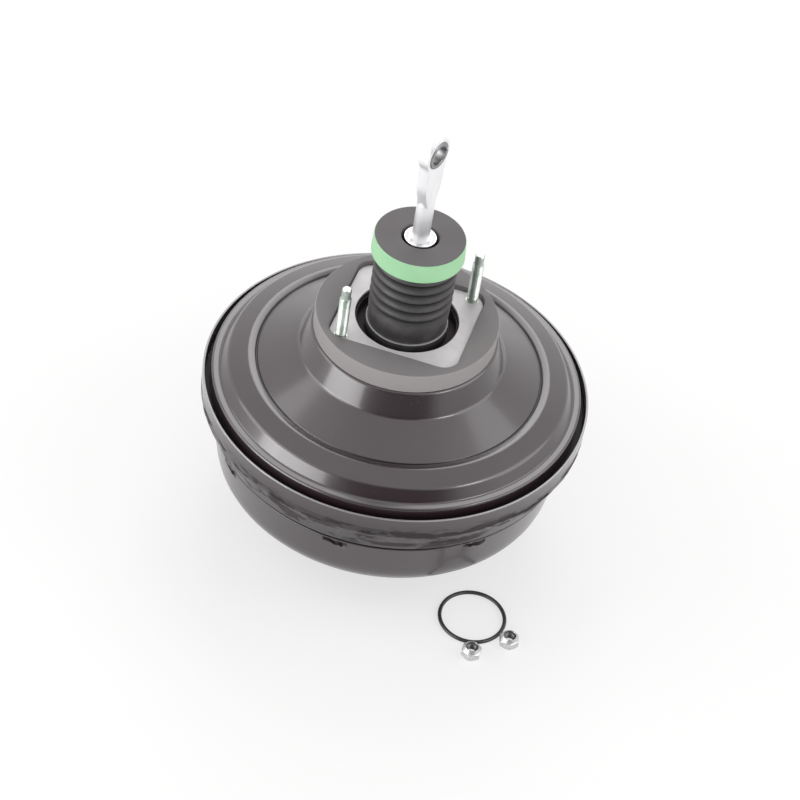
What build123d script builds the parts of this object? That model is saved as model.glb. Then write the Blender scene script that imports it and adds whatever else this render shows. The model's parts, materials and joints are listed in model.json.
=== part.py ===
# Vacuum brake booster with two diaphragms, pedal side up.
# Millimetres. The origin is the centre of the bulkhead mounting face, +Z runs along the
# booster's axis towards the pedal, and the two bulkhead studs lie on the X axis.

from build123d import *
from math import atan2, degrees
import os

os.makedirs("parts", exist_ok=True)

# Driving dimensions of the pressed steel casing
sheet = 1.6
hub_plate_wall = 2.0
rim_radius = 136.0
rim_drop = 60.0
collar_height = 16.5
case_shoulder_fall = 2.0
case_upper_radius = 128.6
case_step_radius = 126.3
case_step_depth = 38.0
case_step_in = 2.0
case_step_fall = 1.6
case_floor_radius = 118.5
case_floor_depth = 85.0
case_corner = 20.0
pad_foot_bend = 5.0
pad_bend = 4.0
pad_foot_radius = 62.0
pad_radius = 54.0
pad_height = 11.0
collar_bend = 2.2
case_bend = 3.0
step_bend = 0.6

# Rear cover, measured from the bulkhead face and from the collar's edge
shoulder_drop = 11.0
shoulder_radius = 66.0
valley_radius = 99.5
valley_drop = 43.5
crest_radius = 105.0
crest_rise = 2.2
brow_radius = 119.0
brow_drop = 46.5
flange_foot_radius = 124.3
flange_rise = 5.0
cover_radius = 130.0
skirt_length = 15.0
hub_hole_radius = 36.0
hub_shelf_drop = 12.0
neck_radius = 26.0
neck_length = 18.8
neck_lip_radius = 21.0
neck_bend = 2.2
neck_mouth_bend = 2.5
neck_lip_bend = 2.0
seat_lap = 3.0
shoulder_lap = 8.0
cover_bends = (5.0, 2.5, 3.0, 5.0, 2.0, 2.2)

# Raised seat of the hub, a rounded oblong turned against the stud line
seat_length = 92.0
seat_width = 85.4
seat_corner = 12.0
seat_turn = -45.0
seat_gap = 0.6
seat_edge = 1.5

# Relief creases pressed beside the hub
crease_circle = 73.0
crease_roller = 14.0
crease_depth = 0.9
crease_angles = (-34.0, 146.0)

# Gasket
gasket_radius = 63.5
gasket_stand = 3.5
gasket_edge = 1.0

# Bulkhead studs and nuts, M8
thread_radius = 4.0
stud_spacing = 102.4
stud_height = 41.0
stud_tip_radius = 3.3
stud_tip_length = 8.0
stud_tip_edge = 0.6
shank_radius = 4.4
plate_edge = 0.4
hole_gap = 0.05
nut_across_flats = 13.0
nut_hex_height = 5.6
nut_collar_height = 2.4
nut_collar_foot = 6.0
nut_collar_top = 4.95
nut_hole_radius = 3.35

# Lances that lock the chamber divider
lance_count = 8
lance_width = 15.0
lance_height = 4.0
lance_reach = 2.3
lance_drop = 1.4

# Moving parts
lost_motion = 1.5
running_gap = 0.08
seat_clearance = 0.1
soft_gap = 0.3

# Valve body
tail_radius = 19.0
tail_bore = 15.0
tail_top = 54.0
seat_drop = 18.5
body_radius = 27.0
body_top_drop = 38.0
plate_flange_radius = 36.0
plate_flange_drop = 58.0
plate_flange_wall = 3.5
front_hub_radius = 21.0
front_hub_drop = 109.5
nose_radius = 19.5
nose_drop = 117.0
plunger_radius = 9.5
plunger_bore_drop = 47.5
stem_radius = 5.0
plunger_stand = 0.2
stem_play = 0.3
plunger_foot_play = 0.5
throat_gap = 0.6
throat_flare = 1.2
reaction_radius = 13.0
reaction_top_drop = 104.0
reaction_disc_wall = 5.0
passage_radius = 1.6
passage_circle = 16.0
passage_count = 4
body_edge = 3.0
tail_edge = 1.0
chamber_step = 2.0
key_drop = 2.5
key_play = 0.2
key_slot_play = 0.5
key_slot_drop = 0.3

# Poppet valve, its sleeve and springs, and the filter
poppet_bore = 7.0
poppet_face_wall = 2.6
poppet_face_lip = 0.6
poppet_face_slope = 0.8
poppet_bead_z = 1.0
poppet_bead_top_z = 3.8
poppet_tube_radius = 12.0
poppet_tube_wall = 1.4
poppet_wire = 0.5
poppet_turns = 4
sleeve_height = 8.0
sleeve_wall = 1.2
sleeve_hole_radius = 8.4
rod_wire = 0.6
rod_spring_inset = 1.2
rod_spring_turns = 3
filter_z = 28.0
filter_top_z = 50.0
filter_gap = 2.6

# Input rod
ball_radius = 5.5
ball_drop = 23.0
rod_neck_radius = 3.8
rod_radius = 6.0
rod_neck_top_drop = 13.0
rod_full_drop = 5.0
eye_height = 142.5
eye_radius = 12.5
eye_wall = 8.0
eye_neck_half = 9.6
eye_blade_drop = 26.0
eye_turn = -64.0
blade_lap = 6.0
blade_foot_inset = 0.6
blade_neck_inset = 1.5
blade_neck_rise = 4.0
blade_eye_inset = 0.4
root_drop = 10.0
root_length = 14.0
root_taper = 12.0
pin_radius = 6.8
bush_wall = 2.8
bush_length = 9.0
bush_slot = 1.8
bush_slot_lift = 2.0
cup_radius = 10.9
cup_height = 3.0
cup_level = 72.0
cup_foot_edge = 0.8
cup_rim_wall = 0.7
cup_dish = 1.6
spring_washer_level = 22.0
spring_washer_radius = 10.5
spring_washer_wall = 2.0
washer_edge = 0.4

# Boot and its end
boot_radius = 28.4
boot_valley_radius = 24.9
boot_wall = 1.6
boot_top = 57.9
boot_folds = 5
boot_fold_pitch = 7.8
boot_fold_start = 19.3
boot_bead_drop = 0.6
boot_bead_slope = 0.8
boot_groove_depth = 1.5
boot_waist_depth = 0.6
fold_valley_half = 0.6
fold_crest_share = 0.42
fold_back_share = 0.68
fold_back_depth = 0.3
boot_top_depth = 0.4
boot_foot_inset = 1.0
end_cap_level = 58.2
end_cap_wall = 2.0
end_cap_sleeve = 2.4
end_cap_reach = 18.0
end_cap_window_radius = 3.0
end_cap_windows = 8
end_cap_gap = 0.9
end_cap_rim = 1.2
band_foot_radius = 31.8
band_top_radius = 31.0
band_wall = 1.7
band_level = 58.0
band_height = 14.0
band_foot_edge = 0.5
band_top_edge = 0.4
disc_height = 11.6
disc_hole_radius = 12.9
disc_edge = 0.7

# Guide parts in the hub neck
guide_height = 12.0
lip_seal_height = 4.0
lip_body_wall = 3.0
lip_foot_gap = 2.6
lip_root_height = 1.8
lip_top_gap = 1.4
lip_top_drop = 0.2
retainer_wall = 1.2
retainer_gap = 2.0
collar_top_drop = 5.0
collar_tube_radius = 25.0
collar_tube_wall = 1.4

# Diaphragms, plates and divider
plate_wall = 1.4
divider_wall = 1.2
rubber_wall = 1.5
rear_plate_radius = 115.0
rear_plate_rise = 5.0
rear_plate_lip = 2.0
rear_plate_lip_fall = 5.0
rear_rib_foot = 48.0
rear_rib_top = 56.0
rear_rib_end = 92.0
rear_rib_toe = 100.0
rear_rib_bend = 4.0
rear_lip_bend = 1.8
film_lift = 0.2
rear_film_reach = 2.2
rear_film_drop = 1.2
rear_film_inset = 5.6
rear_film_lap = 0.6
rear_film_top_bend = 2.0
rear_film_foot_bend = 1.6
rear_hub_lip = 4.0
rear_bead_gap = 0.3
front_plate_radius = 106.0
front_rib_foot = 52.0
front_rib_end = 69.0
front_rib_slope = 3.0
front_rib_depth = 2.5
front_rib_bend = 2.5
plate_ring_width = 4.4
plate_ring_height = 2.0
plate_ring_edge = 0.4
front_film_lift = 0.1
front_film_reach = 2.4
front_film_fold = 4.2
front_film_fold_end = 11.0
front_film_fold_depth = 3.2
front_film_end_inset = 1.0
front_film_end_rise = 1.2
front_film_bends = (2.0, 1.6, 1.6)
front_bead_lift = 0.2
divider_radius = 124.4
divider_flange_depth = 35.7
divider_floor_depth = 43.0
divider_hole_radius = 26.5
divider_dish_radius = 112.0
divider_rise_radius = 118.5
divider_bends = (2.5, 1.5)
divider_seal_edge = 1.0
divider_seal_radius = 30.0
divider_seal_height = 7.0
divider_bush_wall = 2.0
divider_bush_height = 6.0
rear_bead_outer = 133.4
rear_bead_inner = 127.2
rear_bead_height = 4.4
front_bead_outer = 122.3
front_bead_inner = 119.3
front_bead_height = 2.2
key_wall = 3.1
key_width = 15.0
key_length = 46.0
key_groove_radius = 5.0
key_groove_height = 5.0

# Engine side
main_bore_radius = 24.0
main_stud_spacing = 76.0
main_stud_height = 24.0
main_head_radius = 7.0
main_head_height = 3.4
thread_edge = 0.9
stiffener_radius = 48.0
stiffener_wall = 2.5
port_circle = 80.0
port_angle = 100.0
port_hole_radius = 11.0
port_bore_radius = 8.8
port_flange_radius = 14.0
port_outer_height = 4.0
port_inner_height = 1.2
port_nozzle_height = 6.0
port_nozzle_wall = 3.0
port_nozzle_flare = 0.6
port_lip = 1.8
port_lip_slope = 0.6
output_radius = 6.0
output_head_wall = 5.0
output_length = 28.0
output_tip_radius = 4.0
output_tip_length = 10.0
output_edge = 0.8
output_head_gap = 0.1
output_tip_hold = 1.0
output_tip_play = 0.5
output_washer_gap = 1.0
output_washer_wall = 1.0
spring_seat_gap = 0.2
spring_seat_collar = 2.5
spring_wire = 1.6
spring_foot_radius = 27.8
spring_top_radius = 31.5
spring_turns = 3.25
spring_seat_wall = 1.0

# Loose parts on the floor beside the booster
o_ring_radius = 23.1
o_ring_section = 1.4
loose_turn = -34.2
o_ring_place = (79.7, -101.1)
nut_places = ((81.9, -133.9), (107.2, -118.1))
nut_turns = (17.0, 34.0)

# Levels worked out from the sizes above
rim_z = -rim_drop
shoulder_z = -shoulder_drop
seat_z = -hub_plate_wall
flange_z = rim_z + flange_rise
skirt_z = flange_z - skirt_length
case_shoulder_z = rim_z - collar_height
step_z = rim_z - case_step_depth
floor_z = rim_z - case_floor_depth
pad_z = floor_z - pad_height
stud_tip_z = pad_z - main_stud_height
shelf_z = -hub_shelf_drop
neck_z = shelf_z - neck_length
divider_flange_z = rim_z - divider_flange_depth
divider_floor_z = rim_z - divider_floor_depth
plate_flange_z = -plate_flange_drop
reaction_z = -reaction_top_drop


def sheet_profile(points, radii, wall, side):
    """Section of a pressed sheet: an open path along one surface and its parallel."""
    with BuildSketch() as section:
        with BuildLine():
            FilletPolyline(*points, radius=radii)
            offset(amount=wall, side=side)
        make_face()
    return section.sketch


def ring_profile(points):
    """Section of a turned ring from its corner points."""
    with BuildSketch() as section:
        with BuildLine():
            Polyline(*points, close=True)
        make_face()
    return section.sketch


def box_ring(inner, outer, low, high):
    """Section of a plain ring from its radii and levels."""
    return ring_profile([(inner, low), (outer, low), (outer, high), (inner, high)])


def coil(foot_radius, top_radius, low, high, turns, wire):
    """Round wire wound from a foot radius to a top radius."""
    height = high - low
    taper = degrees(atan2(top_radius - foot_radius, height))
    with BuildPart() as winding:
        with BuildLine() as centre:
            Helix(height / turns, height, foot_radius, center=(0, 0, low), cone_angle=taper)
        with BuildSketch(Plane(centre.line @ 0, z_dir=centre.line % 0)):
            Circle(wire)
        sweep(path=centre.line, is_frenet=True)
    return winding.part


# Rear cover
cover_path = [
    (seat_width / 2 - shoulder_lap, shoulder_z),
    (shoulder_radius, shoulder_z),
    (valley_radius, -valley_drop),
    (crest_radius, -valley_drop + crest_rise),
    (brow_radius, -brow_drop),
    (flange_foot_radius, flange_z),
    (cover_radius, flange_z),
    (cover_radius, skirt_z),
]
neck_path = [
    (hub_hole_radius + sheet + seat_lap, seat_z),
    (hub_hole_radius, seat_z),
    (hub_hole_radius, shelf_z),
    (neck_radius, shelf_z),
    (neck_radius, neck_z),
    (neck_lip_radius, neck_z),
]

cone_run = Vector(valley_radius - shoulder_radius, 0, -valley_drop - shoulder_z).normalized()
crease_lift = Vector(-cone_run.Z, 0, cone_run.X)
crease_z = shoulder_z + (crease_circle - shoulder_radius) * cone_run.Z / cone_run.X

with BuildPart() as rear_cover:
    with BuildSketch(Plane.XZ):
        add(sheet_profile(cover_path, cover_bends, sheet, Side.RIGHT))
    revolve(axis=Axis.Z)
    with BuildSketch(Plane.XY.offset(shoulder_z - sheet)):
        with Locations(Rotation(0, 0, seat_turn)):
            RectangleRounded(seat_length - 2 * seat_gap, seat_width - 2 * seat_gap, seat_corner - seat_gap)
    extrude(amount=seat_z - shoulder_z + sheet)
    fillet(rear_cover.faces().sort_by(Axis.Z)[-1].edges(), seat_edge)
    with BuildSketch(Plane.XY.offset(shoulder_z - 2 * sheet)):
        with Locations(Rotation(0, 0, seat_turn)):
            RectangleRounded(
                seat_length - 2 * seat_gap - 2 * sheet,
                seat_width - 2 * seat_gap - 2 * sheet,
                seat_corner - seat_gap - sheet,
            )
    extrude(amount=seat_z - shoulder_z + sheet, mode=Mode.SUBTRACT)
    with BuildSketch(Plane.XY.offset(seat_z - 2 * sheet)):
        Circle(hub_hole_radius + sheet / 2)
    extrude(amount=3 * sheet, mode=Mode.SUBTRACT)
    with BuildSketch(Plane.XZ):
        neck_bends = [neck_mouth_bend, neck_bend, neck_bend, neck_lip_bend]
        add(sheet_profile(neck_path, neck_bends, sheet, Side.LEFT))
    revolve(axis=Axis.Z)
    with BuildSketch(Plane.XY.offset(seat_z)):
        with PolarLocations(stud_spacing / 2, 2):
            Circle(shank_radius + hole_gap)
    extrude(amount=-sheet, mode=Mode.SUBTRACT)
    for angle in crease_angles:
        roller_out = Plane(
            origin=Vector(crease_circle, 0, crease_z).rotate(Axis.Z, angle),
            x_dir=Vector(crease_lift.X, 0, crease_lift.Z).rotate(Axis.Z, angle),
            z_dir=Vector(0, 1, 0).rotate(Axis.Z, angle),
        )
        with BuildSketch(roller_out):
            with Locations((crease_roller - crease_depth, 0)):
                Circle(crease_roller)
        extrude(amount=crease_roller * 2, both=True, mode=Mode.SUBTRACT)
rear_cover.part.label = "rear_cover"
export_step(rear_cover.part, "parts/rear_cover.step")

# Front casing, the engine side shell with the collar round the rear cover
case_path = [
    (rim_radius, rim_z),
    (rim_radius, case_shoulder_z),
    (case_upper_radius, case_shoulder_z - case_shoulder_fall),
    (case_step_radius, step_z),
    (case_step_radius - case_step_in, step_z - case_step_fall),
    (case_floor_radius, floor_z),
    (pad_foot_radius, floor_z),
    (pad_radius, pad_z),
    (main_bore_radius, pad_z),
]
lance_z = step_z - lance_drop
lance_floor_radius = case_step_radius - case_step_in - sheet

with BuildPart() as front_case:
    with BuildSketch(Plane.XZ):
        bends = [collar_bend, case_bend, step_bend, step_bend, case_corner, pad_foot_bend, pad_bend]
        add(sheet_profile(case_path, bends, sheet, Side.RIGHT))
    revolve(axis=Axis.Z)
    with BuildSketch(Plane.XY.offset(lance_z - lance_height)):
        with PolarLocations(case_step_radius, lance_count):
            Rectangle(6 * sheet, lance_width)
    extrude(amount=lance_height - sheet, mode=Mode.SUBTRACT)
    with BuildSketch(Plane.XY.offset(lance_z - sheet)):
        with PolarLocations(lance_floor_radius + sheet / 2 - lance_reach / 2, lance_count):
            Rectangle(lance_reach + sheet, lance_width - sheet)
    extrude(amount=sheet)
    with BuildSketch(Plane.XY.offset(pad_z - sheet)):
        with PolarLocations(main_stud_spacing / 2, 2):
            Circle(shank_radius + hole_gap)
    extrude(amount=4 * sheet, mode=Mode.SUBTRACT)
    with BuildSketch(Plane.XY.offset(floor_z - sheet)):
        with PolarLocations(port_circle, 1, start_angle=port_angle):
            Circle(port_hole_radius)
    extrude(amount=4 * sheet, mode=Mode.SUBTRACT)
front_case.part.label = "front_case"
export_step(front_case.part, "parts/front_case.step")

# Mounting plate on the hub seat, the bright face that meets the bulkhead
with BuildPart() as hub_plate:
    with BuildSketch(Plane.XY.offset(seat_z)):
        with Locations(Rotation(0, 0, seat_turn)):
            RectangleRounded(seat_length - 2 * seat_gap, seat_width - 2 * seat_gap, seat_corner - seat_gap)
        Circle(hub_hole_radius, mode=Mode.SUBTRACT)
        with PolarLocations(stud_spacing / 2, 2):
            Circle(shank_radius + hole_gap, mode=Mode.SUBTRACT)
    extrude(amount=hub_plate_wall)
    chamfer(hub_plate.faces().sort_by(Axis.Z)[-1].outer_wire().edges(), plate_edge)
hub_plate.part.label = "hub_plate"
export_step(hub_plate.part, "parts/hub_plate.step")

# Thick gasket round the hub seat
with BuildPart() as bulkhead_gasket:
    with BuildSketch(Plane.XY.offset(shoulder_z)):
        Circle(gasket_radius)
        with Locations(Rotation(0, 0, seat_turn)):
            RectangleRounded(seat_length, seat_width, seat_corner, mode=Mode.SUBTRACT)
    extrude(amount=gasket_stand - shoulder_z)
    fillet(bulkhead_gasket.faces().sort_by(Axis.Z)[-1].outer_wire().edges(), gasket_edge)
bulkhead_gasket.part.label = "bulkhead_gasket"
export_step(bulkhead_gasket.part, "parts/bulkhead_gasket.step")

# Two bulkhead studs, each with a thicker shank pressed into the hub
with BuildPart() as bulkhead_studs:
    with BuildSketch(Plane.XY.offset(seat_z - sheet)):
        with PolarLocations(stud_spacing / 2, 2):
            Circle(shank_radius)
    extrude(amount=sheet + hub_plate_wall)
    with BuildSketch(Plane.XY):
        with PolarLocations(stud_spacing / 2, 2):
            Circle(thread_radius)
    extrude(amount=stud_height - stud_tip_length)
    chamfer(bulkhead_studs.faces().sort_by(Axis.Z)[-2:].edges(), thread_radius - stud_tip_radius)
    with BuildSketch(Plane.XY.offset(stud_height - stud_tip_length)):
        with PolarLocations(stud_spacing / 2, 2):
            Circle(stud_tip_radius)
    extrude(amount=stud_tip_length)
    chamfer(bulkhead_studs.faces().sort_by(Axis.Z)[-2:].edges(), stud_tip_edge)
bulkhead_studs.part.label = "bulkhead_studs"
export_step(bulkhead_studs.part, "parts/bulkhead_studs.step")

# Guide bush of the valve body's tail, at the bottom of the hub neck
guide_top_z = neck_z + guide_height
with BuildPart() as guide_bush:
    with BuildSketch(Plane.XZ):
        add(box_ring(tail_radius + running_gap, neck_radius - hole_gap, neck_z, guide_top_z))
    revolve(axis=Axis.Z)
    chamfer(guide_bush.faces().sort_by(Axis.Z)[0].outer_wire().edges(), neck_bend + seat_clearance)
guide_bush.part.label = "guide_bush"
export_step(guide_bush.part, "parts/guide_bush.step")

# Lip seal on the guide bush
lip_seal_top_z = guide_top_z + lip_seal_height
with BuildPart() as tail_lip_seal:
    with BuildSketch(Plane.XZ):
        add(
            ring_profile(
                [
                    (neck_radius - hole_gap, guide_top_z),
                    (neck_radius - hole_gap, lip_seal_top_z),
                    (neck_radius - lip_body_wall, lip_seal_top_z),
                    (tail_radius + lip_foot_gap, guide_top_z + lip_root_height),
                    (tail_radius + lip_top_gap, lip_seal_top_z - lip_top_drop),
                    (tail_radius + soft_gap, lip_seal_top_z - lip_top_drop),
                    (tail_radius + soft_gap, guide_top_z),
                ]
            )
        )
    revolve(axis=Axis.Z)
tail_lip_seal.part.label = "tail_lip_seal"
export_step(tail_lip_seal.part, "parts/tail_lip_seal.step")

# Steel ring that holds the seal and carries the boot on its collar
retainer_top_z = lip_seal_top_z + retainer_wall
with BuildPart() as seal_retainer:
    with BuildSketch(Plane.XZ):
        inner = collar_tube_radius - collar_tube_wall
        add(box_ring(tail_radius + retainer_gap, neck_radius - hole_gap, lip_seal_top_z, retainer_top_z))
        add(box_ring(inner, collar_tube_radius, retainer_top_z, -collar_top_drop))
    revolve(axis=Axis.Z)
seal_retainer.part.label = "seal_retainer"
export_step(seal_retainer.part, "parts/seal_retainer.step")

# Dust boot with its folds
boot_points = [(boot_radius, shelf_z + seat_clearance), (boot_radius, -boot_bead_drop)]
boot_points.append((boot_radius - boot_groove_depth, -boot_bead_drop + boot_bead_slope))
boot_points.append((boot_radius - boot_waist_depth, boot_fold_start - boot_fold_pitch / 2))
for fold in range(boot_folds):
    level = boot_fold_start + fold * boot_fold_pitch
    boot_points.append((boot_valley_radius, level - fold_valley_half))
    boot_points.append((boot_valley_radius, level + fold_valley_half))
    boot_points.append((boot_radius, level + boot_fold_pitch * fold_crest_share))
    back_level = level + boot_fold_pitch * fold_back_share
    boot_points.append((boot_radius - fold_back_depth, back_level))
boot_points.append((boot_radius - boot_top_depth, boot_top))
boot_inner = [(radius - boot_wall, level) for radius, level in reversed(boot_points[3:])]
boot_inner.append((collar_tube_radius + seat_clearance, -collar_top_drop + boot_foot_inset))
boot_inner.append((collar_tube_radius + seat_clearance, shelf_z + seat_clearance))
with BuildPart() as dust_boot:
    with BuildSketch(Plane.XZ):
        add(ring_profile(boot_points + boot_inner))
    revolve(axis=Axis.Z)
dust_boot.part.label = "dust_boot"
export_step(dust_boot.part, "parts/dust_boot.step")

# End cap that holds the boot on the tail, with windows for the air
cap_top_z = end_cap_level + end_cap_wall
cap_radius = band_foot_radius - band_wall - end_cap_gap
with BuildPart() as boot_end_cap:
    with BuildSketch(Plane.XZ):
        add(box_ring(tail_bore, cap_radius, end_cap_level, cap_top_z))
        add(
            box_ring(
                tail_radius + hole_gap,
                tail_radius + end_cap_sleeve,
                end_cap_level - end_cap_reach,
                end_cap_level,
            )
        )
    revolve(axis=Axis.Z)
    with BuildSketch(Plane.XY.offset(end_cap_level)):
        with PolarLocations(cap_radius - end_cap_window_radius - end_cap_rim, end_cap_windows):
            Circle(end_cap_window_radius)
    extrude(amount=end_cap_wall, mode=Mode.SUBTRACT)
boot_end_cap.part.label = "boot_end_cap"
export_step(boot_end_cap.part, "parts/boot_end_cap.step")

# Silencer disc of dark foam, round the rod's seat
with BuildPart() as silencer_disc:
    with BuildSketch(Plane.XZ):
        low = cap_top_z + seat_clearance
        disc_radius = band_top_radius - band_wall - seat_clearance
        add(box_ring(disc_hole_radius, disc_radius, low, low + disc_height))
    revolve(axis=Axis.Z)
    fillet(silencer_disc.faces().sort_by(Axis.Z)[-1].edges(), disc_edge)
silencer_disc.part.label = "silencer_disc"
export_step(silencer_disc.part, "parts/silencer_disc.step")

# Green band round the boot's end
with BuildPart() as boot_band:
    with BuildSketch(Plane.XZ):
        add(
            ring_profile(
                [
                    (band_top_radius - band_wall, band_level),
                    (band_foot_radius - band_foot_edge, band_level),
                    (band_foot_radius, band_level + band_foot_edge),
                    (band_top_radius, band_level + band_height - band_top_edge),
                    (band_top_radius - band_top_edge, band_level + band_height),
                    (band_top_radius - band_wall, band_level + band_height),
                ]
            )
        )
    revolve(axis=Axis.Z)
boot_band.part.label = "boot_band"
export_step(boot_band.part, "parts/boot_band.step")

# Valve body: tail, chamber, plate flange, front hub and nose in one moulding
chamber_z = -seat_drop
key_groove_z = -ball_drop - ball_radius - key_drop
key_top_z = key_groove_z - lost_motion - key_play
with BuildPart() as valve_body:
    with BuildSketch(Plane.XZ):
        add(
            ring_profile(
                [
                    (0.0, -nose_drop),
                    (nose_radius, -nose_drop),
                    (nose_radius, -front_hub_drop),
                    (front_hub_radius, -front_hub_drop),
                    (front_hub_radius, plate_flange_z - plate_flange_wall),
                    (plate_flange_radius, plate_flange_z - plate_flange_wall),
                    (plate_flange_radius, plate_flange_z),
                    (body_radius, plate_flange_z),
                    (body_radius, -body_top_drop - body_edge),
                    (body_radius - body_edge, -body_top_drop),
                    (tail_radius, -body_top_drop),
                    (tail_radius, tail_top - tail_edge),
                    (tail_radius - tail_edge, tail_top),
                    (0.0, tail_top),
                ]
            )
        )
    revolve(axis=Axis.Z)
    with BuildSketch(Plane.XZ):
        stem_bore = stem_radius + running_gap
        plunger_bore = plunger_radius + running_gap
        reaction_bore = reaction_radius + hole_gap
        add(
            ring_profile(
                [
                    (0.0, -nose_drop),
                    (reaction_bore, -nose_drop),
                    (reaction_bore, reaction_z),
                    (stem_bore, reaction_z),
                    (stem_bore, -plunger_bore_drop),
                    (plunger_bore, -plunger_bore_drop),
                    (plunger_bore, chamber_z - chamber_step),
                    (plunger_bore + chamber_step, chamber_z - chamber_step),
                    (plunger_bore + chamber_step, chamber_z),
                    (tail_bore, chamber_z),
                    (tail_bore, tail_top),
                    (0.0, tail_top),
                ]
            )
        )
    revolve(axis=Axis.Z, mode=Mode.SUBTRACT)
    with BuildSketch(Plane.XY.offset(-nose_drop)):
        with PolarLocations(passage_circle, passage_count):
            Circle(passage_radius)
    extrude(amount=nose_drop + chamber_z, mode=Mode.SUBTRACT)
    with BuildSketch(Plane.XY.offset(key_top_z - key_wall - key_slot_drop)):
        Rectangle(key_width + key_slot_play, 3 * tail_radius)
    extrude(amount=key_wall + key_slot_play, mode=Mode.SUBTRACT)
valve_body.part.label = "valve_body"
export_step(valve_body.part, "parts/valve_body.step")

# Key that stops the valve body and the plunger
with BuildPart() as stop_key:
    with BuildSketch(Plane.XY.offset(key_top_z - key_wall)):
        Rectangle(key_width, key_length)
        Circle(key_groove_radius + running_gap, mode=Mode.SUBTRACT)
        with Locations((0, -key_length / 4)):
            Rectangle(2 * (key_groove_radius + running_gap), key_length / 2, mode=Mode.SUBTRACT)
    extrude(amount=key_wall)
stop_key.part.label = "stop_key"
export_step(stop_key.part, "parts/stop_key.step")

# Plunger with the ball's socket, the key's groove and the long stem to the reaction disc
plunger_top_z = chamber_z + plunger_stand
stem_tip_z = reaction_z + lost_motion + stem_play
plunger_foot_z = -plunger_bore_drop + lost_motion + plunger_foot_play
key_groove_foot_z = key_groove_z - key_groove_height
with BuildPart() as plunger:
    with BuildSketch(Plane.XZ):
        add(
            ring_profile(
                [
                    (0.0, stem_tip_z),
                    (stem_radius, stem_tip_z),
                    (stem_radius, plunger_foot_z),
                    (plunger_radius, plunger_foot_z),
                    (plunger_radius, key_groove_foot_z),
                    (key_groove_radius, key_groove_foot_z),
                    (key_groove_radius, key_groove_z),
                    (plunger_radius, key_groove_z),
                    (plunger_radius, plunger_top_z),
                    (0.0, plunger_top_z),
                ]
            )
        )
    revolve(axis=Axis.Z)
    with Locations((0, 0, -ball_drop)):
        Sphere(ball_radius + running_gap, mode=Mode.SUBTRACT)
    with BuildSketch(Plane.XZ):
        throat = rod_neck_radius + throat_gap
        mouth = throat + throat_flare
        add(
            ring_profile(
                [
                    (0.0, -ball_drop),
                    (throat, -ball_drop),
                    (mouth, plunger_top_z),
                    (0.0, plunger_top_z),
                ]
            )
        )
    revolve(axis=Axis.Z, mode=Mode.SUBTRACT)
plunger.part.label = "plunger"
export_step(plunger.part, "parts/plunger.step")

# Poppet valve of rubber, held by its bead
poppet_face_z = plunger_top_z + soft_gap
poppet_face_top_z = poppet_face_z + poppet_face_wall
poppet_face_radius = poppet_tube_radius + poppet_face_lip
with BuildPart() as poppet_valve:
    with BuildSketch(Plane.XZ):
        inner = poppet_tube_radius - poppet_tube_wall
        add(
            ring_profile(
                [
                    (poppet_bore, poppet_face_z),
                    (poppet_face_radius, poppet_face_z),
                    (poppet_face_radius, poppet_face_top_z),
                    (poppet_tube_radius, poppet_face_top_z + poppet_face_slope),
                    (poppet_tube_radius, poppet_bead_z),
                    (tail_bore - seat_clearance, poppet_bead_z),
                    (tail_bore - seat_clearance, poppet_bead_top_z),
                    (inner, poppet_bead_top_z),
                    (inner, poppet_face_top_z),
                    (poppet_bore, poppet_face_top_z),
                ]
            )
        )
    revolve(axis=Axis.Z)
poppet_valve.part.label = "poppet_valve"
export_step(poppet_valve.part, "parts/poppet_valve.step")

# Sleeve that holds the poppet's bead and seats two springs
sleeve_z = poppet_bead_top_z + seat_clearance
sleeve_top_z = sleeve_z + sleeve_height
with BuildPart() as poppet_retainer:
    with BuildSketch(Plane.XZ):
        inner = tail_bore - hole_gap - sleeve_wall
        add(box_ring(inner, tail_bore - hole_gap, sleeve_z, sleeve_top_z))
        add(box_ring(sleeve_hole_radius, inner, sleeve_top_z - sleeve_wall, sleeve_top_z))
    revolve(axis=Axis.Z)
poppet_retainer.part.label = "poppet_retainer"
export_step(poppet_retainer.part, "parts/poppet_retainer.step")

# Poppet spring inside the poppet's tube
with BuildPart() as poppet_spring:
    radius = poppet_tube_radius - poppet_tube_wall - poppet_wire - soft_gap
    low = poppet_face_top_z + poppet_wire + seat_clearance
    high = sleeve_top_z - sleeve_wall - poppet_wire - seat_clearance
    add(coil(radius, radius, low, high, poppet_turns, poppet_wire))
poppet_spring.part.label = "poppet_spring"
export_step(poppet_spring.part, "parts/poppet_spring.step")

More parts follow.
